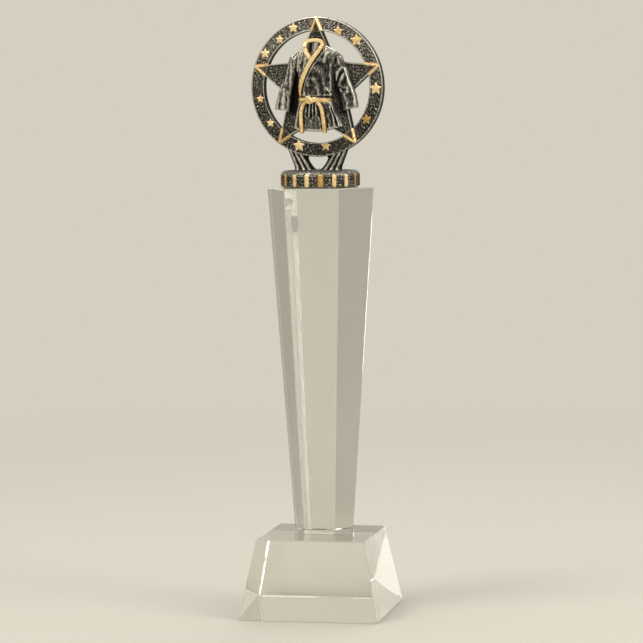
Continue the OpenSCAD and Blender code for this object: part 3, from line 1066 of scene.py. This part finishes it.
# The left panel is painted lighter, as on the side the light falls from
under_painted_light = 0.12
cloth_reach = 1.9
lapel_reach = 1.5
lip = 0.6
lip_out = 0.7
lip_highlight = 0.4
lip_highlight_out = 0.75
lip_highlight_low = 6
line_depth = 0.45
line_w = 0.3
belt_groove = -5.0
belt_groove_w = 0.35
over_lapel_line = [
    (4.5, 21.6),
    (3.3, 19.4),
    (0.4, 15.7),
    (-2.3, 12.1),
    (-4.7, 8.1),
    (-6.9, 3.6),
    (-8.1, -0.5),
    (-8.0, -5.4),
]
under_lapel_line = [(-5.1, 21.4), (-4.8, 18.9), (-3.4, 16.4), (-1.2, 13.9)]
right_side = [(9.3, -5.6), (9.5, 3.0), (9.9, 12.0), (10.6, 18.7)]
left_side = [(-9.6, -5.6), (-9.8, 3.0), (-10.9, 9.5), (-11.6, 13.5), (-11.3, 17.8)]
over_folds = [
    ([(6.9, 17.8), (5.2, 13.2)], 1.1, 0.6),
    ([(8.9, 17.5), (7.9, 13.0)], 0.8, 0.4),
    ([(9.0, 12.0), (8.3, 7.0), (8.4, 2.0), (9.0, -2.0)], 0.9, 0.4),
    ([(7.2, 13.5), (6.6, 9.0), (7.2, 3.0)], 0.9, -0.4),
    ([(1.2, 12.6), (4.2, 11.0), (5.8, 8.6)], 1.2, -0.5),
    ([(-0.8, 10.0), (2.4, 8.4), (4.6, 5.8)], 1.1, 0.35),
    ([(-2.2, 6.4), (1.0, 6.2), (3.2, 3.6)], 1.0, -0.35),
    ([(3.0, 15.6), (3.2, 12.8)], 1.1, -0.3),
    ([(-3.4, 3.6), (-4.9, -1.2), (-5.8, -4.2)], 1.1, 0.4),
    ([(-1.6, 2.6), (-2.6, -3.8)], 0.7, -0.3),
    ([(0.6, 3.6), (1.6, 0.2), (2.6, -3.6)], 1.1, 0.4),
    ([(3.6, 2.4), (4.5, -3.4)], 0.7, -0.35),
    ([(4.9, 4.0), (5.8, 0.4), (6.0, -2.0)], 1.0, 0.4),
    ([(6.6, -0.8), (8.0, -2.6)], 0.45, 1.0),
    ([(5.6, -4.3), (8.9, -3.7)], 0.5, 0.4),
]
# Painted highlights on the right panel's folds and shoulder, and painted shade along the top of the belt
over_highlights_and_shade = [
    ([(6.6, -0.8), (8.0, -2.6)], 0.5, 0.5),
    ([(6.9, 17.4), (5.4, 13.6)], 0.8, 0.12),
    ([(5.4, 21.0), (10.0, 18.9)], 0.6, 0.2),
    ([(-8.2, -5.7), (9.4, -5.7)], 0.6, -0.6),
]
# Painted highlights on the left chest and shoulder
under_highlights = [
    ([(-6.6, 20.2), (-7.6, 17.4), (-9.2, 14.6), (-9.7, 10.4)], 0.7, 0.3),
    ([(-10.0, 17.0), (-10.6, 13.0)], 0.6, 0.2),
]
under_folds = [
    ([(-10.4, 16.0), (-10.6, 9.5)], 1.9, 1.5),
    ([(-7.7, 19.4), (-9.0, 15.5), (-9.5, 10.0)], 0.6, 0.7),
    ([(-6.0, 19.0), (-7.4, 15.6), (-8.0, 12.6)], 0.6, 0.7),
    ([(-7.2, 17.6), (-8.3, 14.4)], 0.35, -0.5),
    ([(-5.2, 14.2), (-6.2, 10.4)], 0.8, 0.45),
    ([(-7.0, 12.4), (-7.3, 7.4)], 0.5, -0.5),
    ([(-8.3, 8.6), (-8.6, 5.5), (-9.2, 1.0)], 0.6, 0.55),
]


def crumple(x, z, height):
    """Soft dents of cloth, with finer ones in them."""
    places = np.stack([x, np.zeros_like(x), dent_stretch * z], axis=-1)
    return height * (grain(places, dent_size) + fine_dents * grain(places, fine_dent_size))


def beside(line, x, z, gap):
    """One at the given distance from a line in the front view, falling off to both sides."""
    return np.exp(-(((from_line(x, z, line) - gap) / line_w) ** 2))


def bow(x, width, depth):
    """Height of a front that is bowed across the width given."""
    radius = (width**2 / 4 + depth**2) / (2 * depth)
    return np.sqrt(np.maximum(radius**2 - x**2, 0)) - radius + depth


def round_off(distance, radius, low):
    """Share of the height at a distance from an edge that is rounded off, from the low share at the edge."""
    rest = 1 - np.clip(distance / radius, 0, 1)
    return low + (1 - low) * np.sqrt(1 - rest**2)


def over_shape(across, along):
    x, z, width = between_lines(over_lapel_line[::-1], right_side, across, along)
    height = bow(x, chest_bow_w, chest_depth) + folds(over_folds, x, z) + crumple(x, z, panel_dents)
    height += lip * beside(over_lapel_line, x, z, lapel_reach + lip_out)
    height -= line_depth * beside(over_lapel_line, x, z, lapel_reach)
    height -= line_depth * np.exp(-(((z - belt_groove) / belt_groove_w) ** 2))
    height *= round_off((1 - along) * panel_h, shoulder_roll, shoulder_low)
    height *= round_off((1 - across) * width, armhole_round, armhole_low)
    return on_star(x, height, z)


def under_shape(across, along):
    seam = [point for point in over_lapel_line[::-1] if point[1] < under_top] + under_lapel_line[::-1]
    x, z, width = between_lines(left_side, seam, across, along)
    height = bow(x, chest_bow_w, chest_depth) - under_step
    height += folds(under_folds, x, z) + crumple(x, z, panel_dents)
    height -= line_depth * beside(seam, x, z, lapel_reach)
    height *= round_off((1 - along) * panel_h, shoulder_roll, shoulder_low)
    height *= round_off(across * width, under_round, under_low)
    return on_star(x, height, z)


over_front = sheet("right_front", columns=120, rows=150, shape=over_shape)
x, _, z = read_points(over_front).T
# A painted highlight along the lip beside the long lapel, fading out below the chest
on_lip = beside(over_lapel_line, x - jacket_x, z, lapel_reach + lip_highlight_out)
on_lip *= np.clip((z - lip_highlight_low) / lip_highlight_low, 0, 1)
shade = painted_light_and_shade(over_front, over_shade, over_highlights_and_shade) + lip_highlight * on_lip
set_in_topper(over_front, silver, "over_panel", cloth_reach, shade, cloth_edge)
under_front = sheet("left_front", columns=70, rows=150, shape=under_shape)
shade = painted_light_and_shade(under_front, under_painted_light, under_highlights)
set_in_topper(under_front, silver, "under_panel", cloth_reach, shade, cloth_edge)


# Skirt: the jacket below the belt, part of the casting. It is gathered in sharp pleats under the knot,
# flares towards its hem and has long folds at its sides.
skirt_bow_w = 33
skirt_depth = 5.4
skirt_w = 24
skirt_dents = 0.3
skirt_side_low = 0.3
hem_round = 0.5
hem_low = 0.75
skirt_shade = 0.04
tail_reach = 1.5
left_tail_line = [(-3.9, -7.2), (-5.9, -9.0), (-7.1, -11.6), (-7.5, -15.0), (-7.3, -19.9), (-6.9, -24.0)]
right_tail_line = [(1.4, -7.4), (3.0, -9.0), (4.2, -11.6), (5.0, -16.2), (5.5, -21.1), (5.7, -23.8)]
skirt_top = [(-9.4, -7.6), (0.0, -7.6), (9.4, -7.6)]
skirt_hem = [(-12.9, -21.3), (-8.0, -22.6), (0.0, -23.1), (5.0, -22.8), (9.0, -21.8), (14.0, -20.3)]
skirt_folds = [
    ([(-2.2, -8.5), (-2.6, -12.0), (-2.9, -15.5)], 0.42, 0.9),
    ([(-0.7, -8.5), (-0.8, -13.6)], 0.36, 0.7),
    ([(0.9, -8.5), (1.2, -15.0)], 0.42, 0.8),
    ([(-1.5, -8.5), (-1.7, -15.5)], 0.36, -0.8),
    ([(0.1, -8.5), (0.2, -14.5)], 0.36, -0.8),
    ([(2.3, -8.5), (2.8, -15.0)], 0.5, -0.6),
    ([(-3.7, -8.5), (-4.3, -15.0)], 0.5, -0.6),
    ([(-8.6, -9.5), (-10.2, -15.0), (-11.4, -20.8)], 0.8, 0.6),
    ([(8.3, -10.5), (9.8, -15.0), (10.4, -20.8)], 0.6, 0.8),
    ([(9.6, -11.0), (11.6, -16.0), (12.6, -20.0)], 0.5, 0.8),
    ([(9.0, -11.0), (10.7, -16.0), (11.6, -20.2)], 0.4, -0.6),
    ([(4.0, -17.5), (3.6, -22.0)], 1.2, 0.35),
    ([(-2.5, -18.0), (-3.2, -22.4)], 1.3, 0.35),
]


def skirt_shape(across, along):
    x, z, width = between_lines(skirt_hem, skirt_top, along, across)
    height = bow(x, skirt_bow_w, skirt_depth) + folds(skirt_folds, x, z) + crumple(x, z, skirt_dents)
    for tail in (left_tail_line, right_tail_line):
        height -= line_depth * beside(tail, x, z, tail_reach)
    from_side = np.minimum(across, 1 - across) * skirt_w
    height *= round_off(from_side, armhole_round, skirt_side_low)
    height *= round_off(along * width, hem_round, hem_low)
    return on_star(x, height, z)


skirt = sheet("jacket_skirt", columns=150, rows=100, shape=skirt_shape)
set_in_topper(skirt, silver, "skirt", cloth_reach, skirt_shade, cloth_edge)


# Sleeves: two wide sleeves that hang beside the body, flat where they lie on the star.
# The left one falls in upright folds, the right one in slanting folds, and both have an open cuff.
sleeve_steps = [0, 0.3, 1]
sleeve_out = [1.2, 1.7, 2.3]
sleeve_deep = [1.5, 2.2, 3.7]
sleeve_head = 0.12
sleeve_head_low = 0.3
sleeve_dents = 0.36
sleeve_square = 0.85
sleeve_front_square = 0.8
sleeve_facing = 0.4
way_step = 0.01
wall_dents = 0.35
wall_dent_size = 1.7
cuff_wall = 0.55
cuff_hollow = 2.2
left_sleeve_line = [
    (-9.6, 17.4),
    (-12.1, 14.6),
    (-13.3, 10.4),
    (-14.1, 5.4),
    (-15.5, 0.8),
    (-16.8, -3.2),
    (-17.8, -8.0),
    (-18.5, -12.0),
]
left_sleeve_half = [1.8, 2.4, 2.1, 2.5, 3.3, 3.5, 3.8, 4.0]
left_sleeve_folds = [
    ([(-7.8, 18.2), (-10.6, 15.4), (-11.6, 12.0)], 0.55, 0.6),
    ([(-9.6, 18.0), (-11.6, 15.4)], 0.4, -0.5),
    ([(-14.9, 12.0), (-15.5, 6.0), (-16.0, 2.0)], 0.8, 0.5),
    ([(-12.6, 15.5), (-13.2, 8.3), (-13.0, 2.4)], 1.1, 0.6),
    ([(-10.6, 17.0), (-11.3, 12.0), (-11.2, 8.0)], 0.8, 0.5),
    ([(-13.8, 11.0), (-14.5, 6.0), (-14.4, 2.0)], 0.6, -0.3),
    ([(-11.8, 13.0), (-12.2, 8.0), (-11.8, 3.0)], 0.6, -0.4),
    ([(-11.4, 0.2), (-13.0, -1.4)], 0.7, -0.4),
    ([(-18.6, 1.2), (-20.0, -6.4), (-20.8, -11.5)], 0.9, 0.5),
    ([(-16.4, -1.4), (-17.3, -7.2), (-17.6, -11.8)], 1.0, 0.5),
    ([(-17.6, -2.0), (-18.7, -7.0), (-19.2, -11.8)], 0.6, -0.3),
    ([(-15.5, -3.4), (-15.9, -11.0)], 0.8, -0.4),
]
right_sleeve_line = [
    (9.2, 17.2),
    (11.6, 14.3),
    (13.2, 10.0),
    (14.6, 5.5),
    (15.7, 2.0),
    (17.0, -1.2),
    (18.0, -4.5),
    (18.7, -8.0),
    (19.3, -11.2),
]
right_sleeve_half = [2.6, 3.2, 3.1, 3.6, 3.9, 3.8, 3.9, 3.9, 3.8]
right_sleeve_ridge = [(16.3, 9.4), (18.9, 2.8), (21.5, -3.9), (22.7, -9.8)]
right_sleeve_folds = [
    ([(10.2, 17.5), (12.4, 15.0), (13.6, 11.6)], 0.9, 0.5),
    ([(11.0, 13.6), (11.4, 9.6)], 0.6, -0.5),
    ([(14.8, 9.8), (12.2, 7.0), (11.4, 3.6)], 0.9, 0.6),
    ([(15.4, 8.0), (13.2, 5.0), (12.2, 1.6)], 0.6, -0.5),
    ([(16.2, 6.6), (14.2, 3.2), (13.4, 0.8)], 0.95, 0.6),
    ([(17.0, 5.0), (15.6, 1.2)], 0.7, -0.4),
    ([(17.8, 4.6), (18.6, 0.6), (17.9, -2.6)], 0.8, 0.5),
    ([(13.2, -0.1), (15.4, -1.6), (17.2, -1.4)], 0.5, -0.6),
    ([(13.9, -1.2), (14.6, -2.4)], 0.6, 0.4),
    ([(16.6, -4.0), (17.6, -7.0), (18.4, -10.8)], 1.1, 0.5),
    ([(19.6, -3.6), (20.9, -9.4)], 0.8, -0.45),
    (right_sleeve_ridge, 0.45, 0.8),
]
# Painted highlights along the right sleeve's outer ridge and on its folds
right_sleeve_highlights = [
    (right_sleeve_ridge, 0.6, 0.4),
    ([(12.6, 7.4), (11.6, 4.2)], 0.7, 0.25),
    ([(13.9, -1.2), (14.4, -2.0)], 0.6, 0.12),
]
# Painted shade that dims one spot on the left sleeve
left_sleeve_painted_shade = [([(-15.3, -0.6), (-15.6, -1.4)], 1.0, -0.2)]
# Painted shade on the lower part of the sleeves' sides
sleeve_wall_shade = 0.4
sleeve_wall_h = 2.8
sleeve_wall_start = 1.5
sleeve_wall_top = 8
sleeve_wall_fade = 5
# The left sleeve is painted lighter, as on the side the light falls from
left_sleeve_painted_light = 0.12
right_sleeve_shade = 0.02


def along_line(line, share):
    """Places along a line, and the direction of the line in the front view there."""
    way = follow(line, share + way_step) - follow(line, share - way_step)
    way = way[:, [0, -1]]
    return follow(line, share), way / np.linalg.norm(way, axis=1)[:, None]


def sleeve_shape(line, halves, strokes):
    """Shape of a sleeve along a line in the front view, with half its width at even steps."""

    def shape(turn, share):
        middle, way = along_line(line, share)
        head = round_off(share, sleeve_head, sleeve_head_low)
        side = evenly(share, halves) * head * squared(np.sin(turn), sleeve_square)
        x = middle[:, 0] - way[:, 1] * side
        z = middle[:, 1] + way[:, 0] * side
        facing = np.clip(np.cos(turn), 0, 1) ** sleeve_facing
        height = np.interp(share, sleeve_steps, sleeve_out)
        depth = np.interp(share, sleeve_steps, sleeve_deep) * head
        height += depth * squared(np.cos(turn), sleeve_front_square)
        height += facing * (folds(strokes, x, z) + crumple(x, z, sleeve_dents))
        places = np.stack([x, height, dent_stretch * z], axis=-1)
        swell = wall_dents * (1 - facing) * np.sign(side) * grain(places, wall_dent_size)
        back = back_stipple * grain(places, stipple_size) - panel_sink
        return on_star(x - way[:, 1] * swell, np.maximum(height, back), z + way[:, 0] * swell)

    return shape


def open_cuff(piece, line):
    """Hollows out the lower end of a sleeve."""
    way = np.array(line[-2]) - np.array(line[-1])
    way = way / np.linalg.norm(way) * cuff_hollow
    with editing(piece):
        pick("FACE", lambda face: len(face.verts) > 8 and face.calc_center_median().z < 0)
        bpy.ops.mesh.inset(thickness=cuff_wall)
        bpy.ops.mesh.extrude_region_move(TRANSFORM_OT_translate={"value": (way[0], 0, way[1])})


def painted_wall_shade(piece):
    """Painted shade on the lower part of a sleeve's sides, near the star."""
    rest = read_points(piece)
    height = -star_half_t - rest[:, 1]
    below_shoulder = np.clip((sleeve_wall_top - rest[:, 2]) / sleeve_wall_fade, 0, 1) * (height > 0)
    return sleeve_wall_shade * np.clip(sleeve_wall_start - height / sleeve_wall_h, 0, 1) * below_shoulder


def hang_sleeve(name, node, line, halves, strokes, shade, light_strokes):
    """Casts a sleeve along its line, opens its cuff, and gives it its rubbed finish with painted light and
    shade.
    """
    shape = sleeve_shape(line, halves, strokes)
    sleeve, _, _ = mould(name, around=110, along=130, shape=shape)
    open_cuff(sleeve, line)
    shade = painted_light_and_shade(sleeve, shade, light_strokes) - painted_wall_shade(sleeve)
    set_in_topper(sleeve, silver, node, cloth_reach, shade, cloth_edge)


hang_sleeve(
    "left_arm",
    "left_sleeve",
    left_sleeve_line,
    left_sleeve_half,
    left_sleeve_folds,
    left_sleeve_painted_light,
    left_sleeve_painted_shade,
)
hang_sleeve(
    "right_arm",
    "right_sleeve",
    right_sleeve_line,
    right_sleeve_half,
    right_sleeve_folds,
    right_sleeve_shade,
    right_sleeve_highlights,
)


# Collar: the gold band round the back of the neck, cast with the jacket and painted.
# It stands up from the shoulders, and its two ends run into the lapels.
collar_line = [
    (-5.0, 4.5, 20.6),
    (-5.0, 3.8, 22.2),
    (-3.6, 3.1, 23.7),
    (-0.3, 2.7, 24.1),
    (3.0, 3.1, 23.7),
    (4.5, 3.8, 22.2),
    (4.4, 4.5, 20.8),
]
collar_wear = [0, 0.1, 0.2, 0, 0.05, 0.35, 0.25]
collar_half = [1.3, 1.2, 1.1, 1.1, 1.1, 1.2, 1.3]
collar_thick = 1.0
band_reach = 0.5
band_end_power = 40


def ribbon(name, line, halves, thick, wear, along=90, square=0.55, ends=0.5):
    """A band along a line of x, height and z, with half its width and its wear at even steps."""

    def shape(turn, share):
        middle, way = along_line(line, share)
        tip = 1 - ends * np.abs(2 * share - 1) ** band_end_power
        side = evenly(share, halves) * tip * squared(np.sin(turn), square)
        x = middle[:, 0] - way[:, 1] * side
        z = middle[:, 2] + way[:, 0] * side
        return on_star(x, middle[:, 1] + thick * tip * squared(np.cos(turn), square), z)

    band, turn, share = mould(name, around=48, along=along, shape=shape)
    store(band, "wear_and_shade", edge_wear(np.abs(squared(np.sin(turn), square))) + evenly(share, wear))
    return band


collar = ribbon("gold_collar", collar_line, collar_half, collar_thick, collar_wear)
set_in_topper(collar, gold, "collar", band_reach)


# Lapels: the jacket's gold edging. The short left lapel ends under the long right one,
# which runs down to the belt. Both are cast with the panels and painted.
under_lift = -0.1
over_lift = 0.3
lapel_thick = 0.55
lapel_lean = 0.12
lapel_lean_from = 18
under_lapel_half = [1.25, 1.3, 1.35, 1.35]
under_lapel_wear = [0, 0, 0.1, 0.3]
over_lapel_half = [1.25, 1.35, 1.4, 1.4, 1.4, 1.45, 1.1, 0.4]
over_lapel_wear = [0.25, 0.15, 0, 0, 0, 0.1, 0.3, 0.5]


def lay_lapel(name, node, line, lift, halves, wear):
    """Lays a lapel along a line in the front view, lifted over the chest, with its top leaning back."""
    raised = []
    for x, z in line:
        lean = lapel_lean * max(z - lapel_lean_from, 0)
        raised.append((x, bow(x, chest_bow_w, chest_depth) + lift - lean, z))
    set_in_topper(ribbon(name, raised, halves, lapel_thick, wear), gold, node, band_reach)


lay_lapel("left_lapel", "under_lapel", under_lapel_line, under_lift, under_lapel_half, under_lapel_wear)
lay_lapel("right_lapel", "over_lapel", over_lapel_line, over_lift, over_lapel_half, over_lapel_wear)


# Belt: a gold band round the waist, cast with the jacket and painted.
# It is widest beside the knot and wraps round to the star at both sides.
belt_line = [
    (-9.6, 0.3, -6.5),
    (-9.0, 2.9, -6.5),
    (-6.0, 4.7, -6.6),
    (0.0, 5.6, -6.7),
    (6.0, 4.7, -6.9),
    (8.2, 2.9, -7.0),
    (8.6, 0.3, -7.0),
]
belt_half = [1.1, 1.2, 1.35, 1.45, 1.35, 1.35, 1.35]
belt_wear = [0.5, 0.35, 0.25, 0.25, 0.2, 0.1]
belt_thick = 0.6
belt = ribbon("gold_belt", belt_line, belt_half, belt_thick, belt_wear, ends=0.25)
set_in_topper(belt, gold, "belt", band_reach)


# Knot: the flat knot in front of the belt, cast and painted gold.
# One turn of the belt crosses slantwise over the other.
knot_grain = 0.11
knot_wear = 0.3
knot_turns = [
    ([(-4.4, 5.6, -6.2), (-3.0, 6.4, -5.8), (-1.2, 6.6, -6.0)], [1.1, 1.25, 0.9], 0.8),
    ([(-2.9, 6.4, -5.2), (-1.4, 7.3, -6.3), (0.0, 6.7, -8.0)], [0.8, 1.05, 0.85], 0.75),
    ([(-0.6, 6.4, -6.1), (0.8, 6.5, -6.5), (2.3, 5.8, -7.0)], [0.9, 1.3, 1.0], 0.8),
    ([(-3.6, 5.9, -7.6), (-2.2, 6.4, -7.9), (-0.8, 6.1, -7.9)], [0.7, 0.9, 0.7], 0.6),
]

turns = []
for line, halves, thick in knot_turns:
    name = f"turn_{len(turns)}"
    turns.append(ribbon(name, line, halves, thick, [knot_wear], along=40, square=0.8, ends=0.6))
knot = join("gold_knot", turns)
take(knot)
fuse = knot.modifiers.new("fuse", "REMESH")
fuse.mode = "VOXEL"
fuse.voxel_size = knot_grain
bpy.ops.object.modifier_apply(modifier=fuse.name)
store(knot, "wear_and_shade", np.full(len(knot.data.vertices), knot_wear))
set_in_topper(knot, gold, "belt_knot", reach=0.9)


# Tails: the two ends of the belt, which bend out of the knot and hang on the skirt.
# They are smooth rounded bands, cast and painted gold, cut off square at their ends.
tail_lift = 0.45
tail_thick = 0.55
tail_half = [1.0, 1.15, 1.2, 1.2, 1.25, 1.3]
tail_wear = [0.4, 0.15, 0.1, 0.15, 0.25, 0.5]


def hang_tail(name, node, line):
    """Lays an end of the belt along a line in the front view, lifted over the skirt."""
    raised = [(x, bow(x, skirt_bow_w, skirt_depth) + tail_lift, z) for x, z in line]
    set_in_topper(ribbon(name, raised, tail_half, tail_thick, tail_wear), gold, node, band_reach)


hang_tail("left_tail", "left_belt_tail", left_tail_line)
hang_tail("right_tail", "right_belt_tail", right_tail_line)


# Floor, soft studio light and camera. The floor is a wide pale sheet that runs out into a
# backdrop of its own tone, so that the crystal and the casting mirror a plain pale room.
floor_r = 6
floor_gap = 0.1 * mm
floor_near_r = 0.35
floor_far_r = 1.0
floor_pale = (0.475, 0.455, 0.39, 1)
floor_paler = (0.49, 0.468, 0.40, 1)
floor_fibre = 4 * mm
fibre_range = (0.2, 0.8)
floor_rough = 0.8
room_tone = (0.66, 0.625, 0.53, 1)
room_back = (-0.208, 0.978, 0)
room_side = 0.54
room_side_start = 0.66
room_side_end = 0.95
light_tone = (1.0, 0.985, 0.95, 1)
light_level = 0.88
ceiling_gain = 0.55
ceiling_low = 0.06
ceiling_high = 0.5
lamp_aim = Vector((0, 0, 0.2))
camera_place = (0.3318, -1.567, 0.2881)
camera_turn = (math.radians(85.14), math.radians(0.64), math.radians(11.85))
camera_focal = 172.8
camera_sensor = 36


def seen_ray(place):
    """One for the rays that show a background: straight to the camera, by gloss or through glass."""
    rays = place.tree.nodes.new("ShaderNodeLightPath")
    seen = Thread(place.tree, rays.outputs["Is Camera Ray"])
    for kind in ("Is Glossy Ray", "Is Transmission Ray"):
        seen = seen.maths("MAXIMUM", seen, Thread(place.tree, rays.outputs[kind]))
    return seen


def room_shade(way):
    """Brightness of the room: full behind and in front of the object, and less at its sides."""
    straight = way.node("ShaderNodeVectorMath", {"operation": "NORMALIZE"}, {0: way})
    facing = way.node("ShaderNodeVectorMath", {"operation": "DOT_PRODUCT"}, {0: straight, 1: room_back}, 1)
    in_line = facing.maths("ABSOLUTE", facing, 0)
    return room_side + (1 - room_side) * in_line.between(room_side_start, room_side_end)


floor_finish, place = start_finish("pale_floor")
distance = place.node("ShaderNodeVectorMath", {"operation": "LENGTH"}, {0: place}, 1)
fibre = place.noise(floor_fibre, detail=3).between(*fibre_range)
sockets = {"Base Color": fibre.blend(floor_pale, floor_paler), "Roughness": floor_rough}
paper = place.node("ShaderNodeBsdfPrincipled", {}, sockets)
glow = place.node("ShaderNodeEmission", {}, {"Color": room_tone, "Strength": room_shade(place)})
far = distance.between(floor_near_r, floor_far_r) * seen_ray(place)
mixed = place.node("ShaderNodeMixShader", {}, {0: far, 1: paper, 2: glow})
place.node("ShaderNodeOutputMaterial", {}, {"Surface": mixed})

bpy.ops.object.select_all(action="DESELECT")
bpy.ops.mesh.primitive_circle_add(
    vertices=round_sides, radius=floor_r, fill_type="TRIFAN", location=(0, 0, -floor_gap)
)
floor = bpy.context.object
floor.name = "floor"
floor.data.materials.append(floor_finish)

world = bpy.data.worlds.new("pale_room")
bpy.context.scene.world = world
world.use_nodes = True
tree = world.node_tree
tree.nodes.clear()
way = Thread(tree, tree.nodes.new("ShaderNodeTexCoord").outputs["Generated"])
height = way.node("ShaderNodeSeparateXYZ", {}, {0: way}, 2)
brightness = (1 + ceiling_gain * height.between(ceiling_low, ceiling_high)) * room_shade(way)
light = way.node("ShaderNodeBackground", {}, {"Color": light_tone, "Strength": light_level})
room = way.node("ShaderNodeBackground", {}, {"Color": room_tone, "Strength": brightness})
mixed = way.node("ShaderNodeMixShader", {}, {0: seen_ray(way), 1: light, 2: room})
way.node("ShaderNodeOutputWorld", {}, {"Surface": mixed})


def hang_lamp(name, power, size, azimuth, elevation, reach):
    """Hangs a square soft lamp that faces the upper part of the column."""
    turn = math.radians(azimuth)
    tilt = math.radians(elevation)
    way = Vector((math.sin(turn) * math.cos(tilt), -math.cos(turn) * math.cos(tilt), math.sin(tilt)))
    lamp = bpy.data.lights.new(name, "AREA")
    lamp.energy = power
    lamp.size = size
    lamp.color = light_tone[:3]
    holder = bpy.data.objects.new(name, lamp)
    holder.location = lamp_aim + way * reach
    holder.rotation_mode = "QUATERNION"
    holder.rotation_quaternion = way.to_track_quat("Z", "Y")
    bpy.context.scene.collection.objects.link(holder)


hang_lamp("key_lamp", power=3.6, size=1.1, azimuth=-26, elevation=40, reach=1.6)
hang_lamp("top_lamp", power=8, size=0.45, azimuth=-50, elevation=62, reach=1.4)
hang_lamp("side_lamp", power=5, size=0.5, azimuth=75, elevation=25, reach=1.4)
hang_lamp("back_lamp", power=3, size=0.6, azimuth=170, elevation=50, reach=1.4)

# Two small lamps that the base's far left bevel catches from end to end
hang_lamp("right_lamp", power=1.6, size=0.35, azimuth=88, elevation=46, reach=1.4)
hang_lamp("near_right_lamp", power=1.6, size=0.35, azimuth=64, elevation=43, reach=1.4)

camera_lens = bpy.data.cameras.new("camera")
camera_lens.sensor_width = camera_sensor
camera_lens.lens = camera_focal
camera = bpy.data.objects.new("camera", camera_lens)
camera.location = camera_place
camera.rotation_euler = camera_turn
bpy.context.scene.collection.objects.link(camera)
bpy.context.scene.camera = camera
bpy.context.scene.view_settings.view_transform = "Standard"
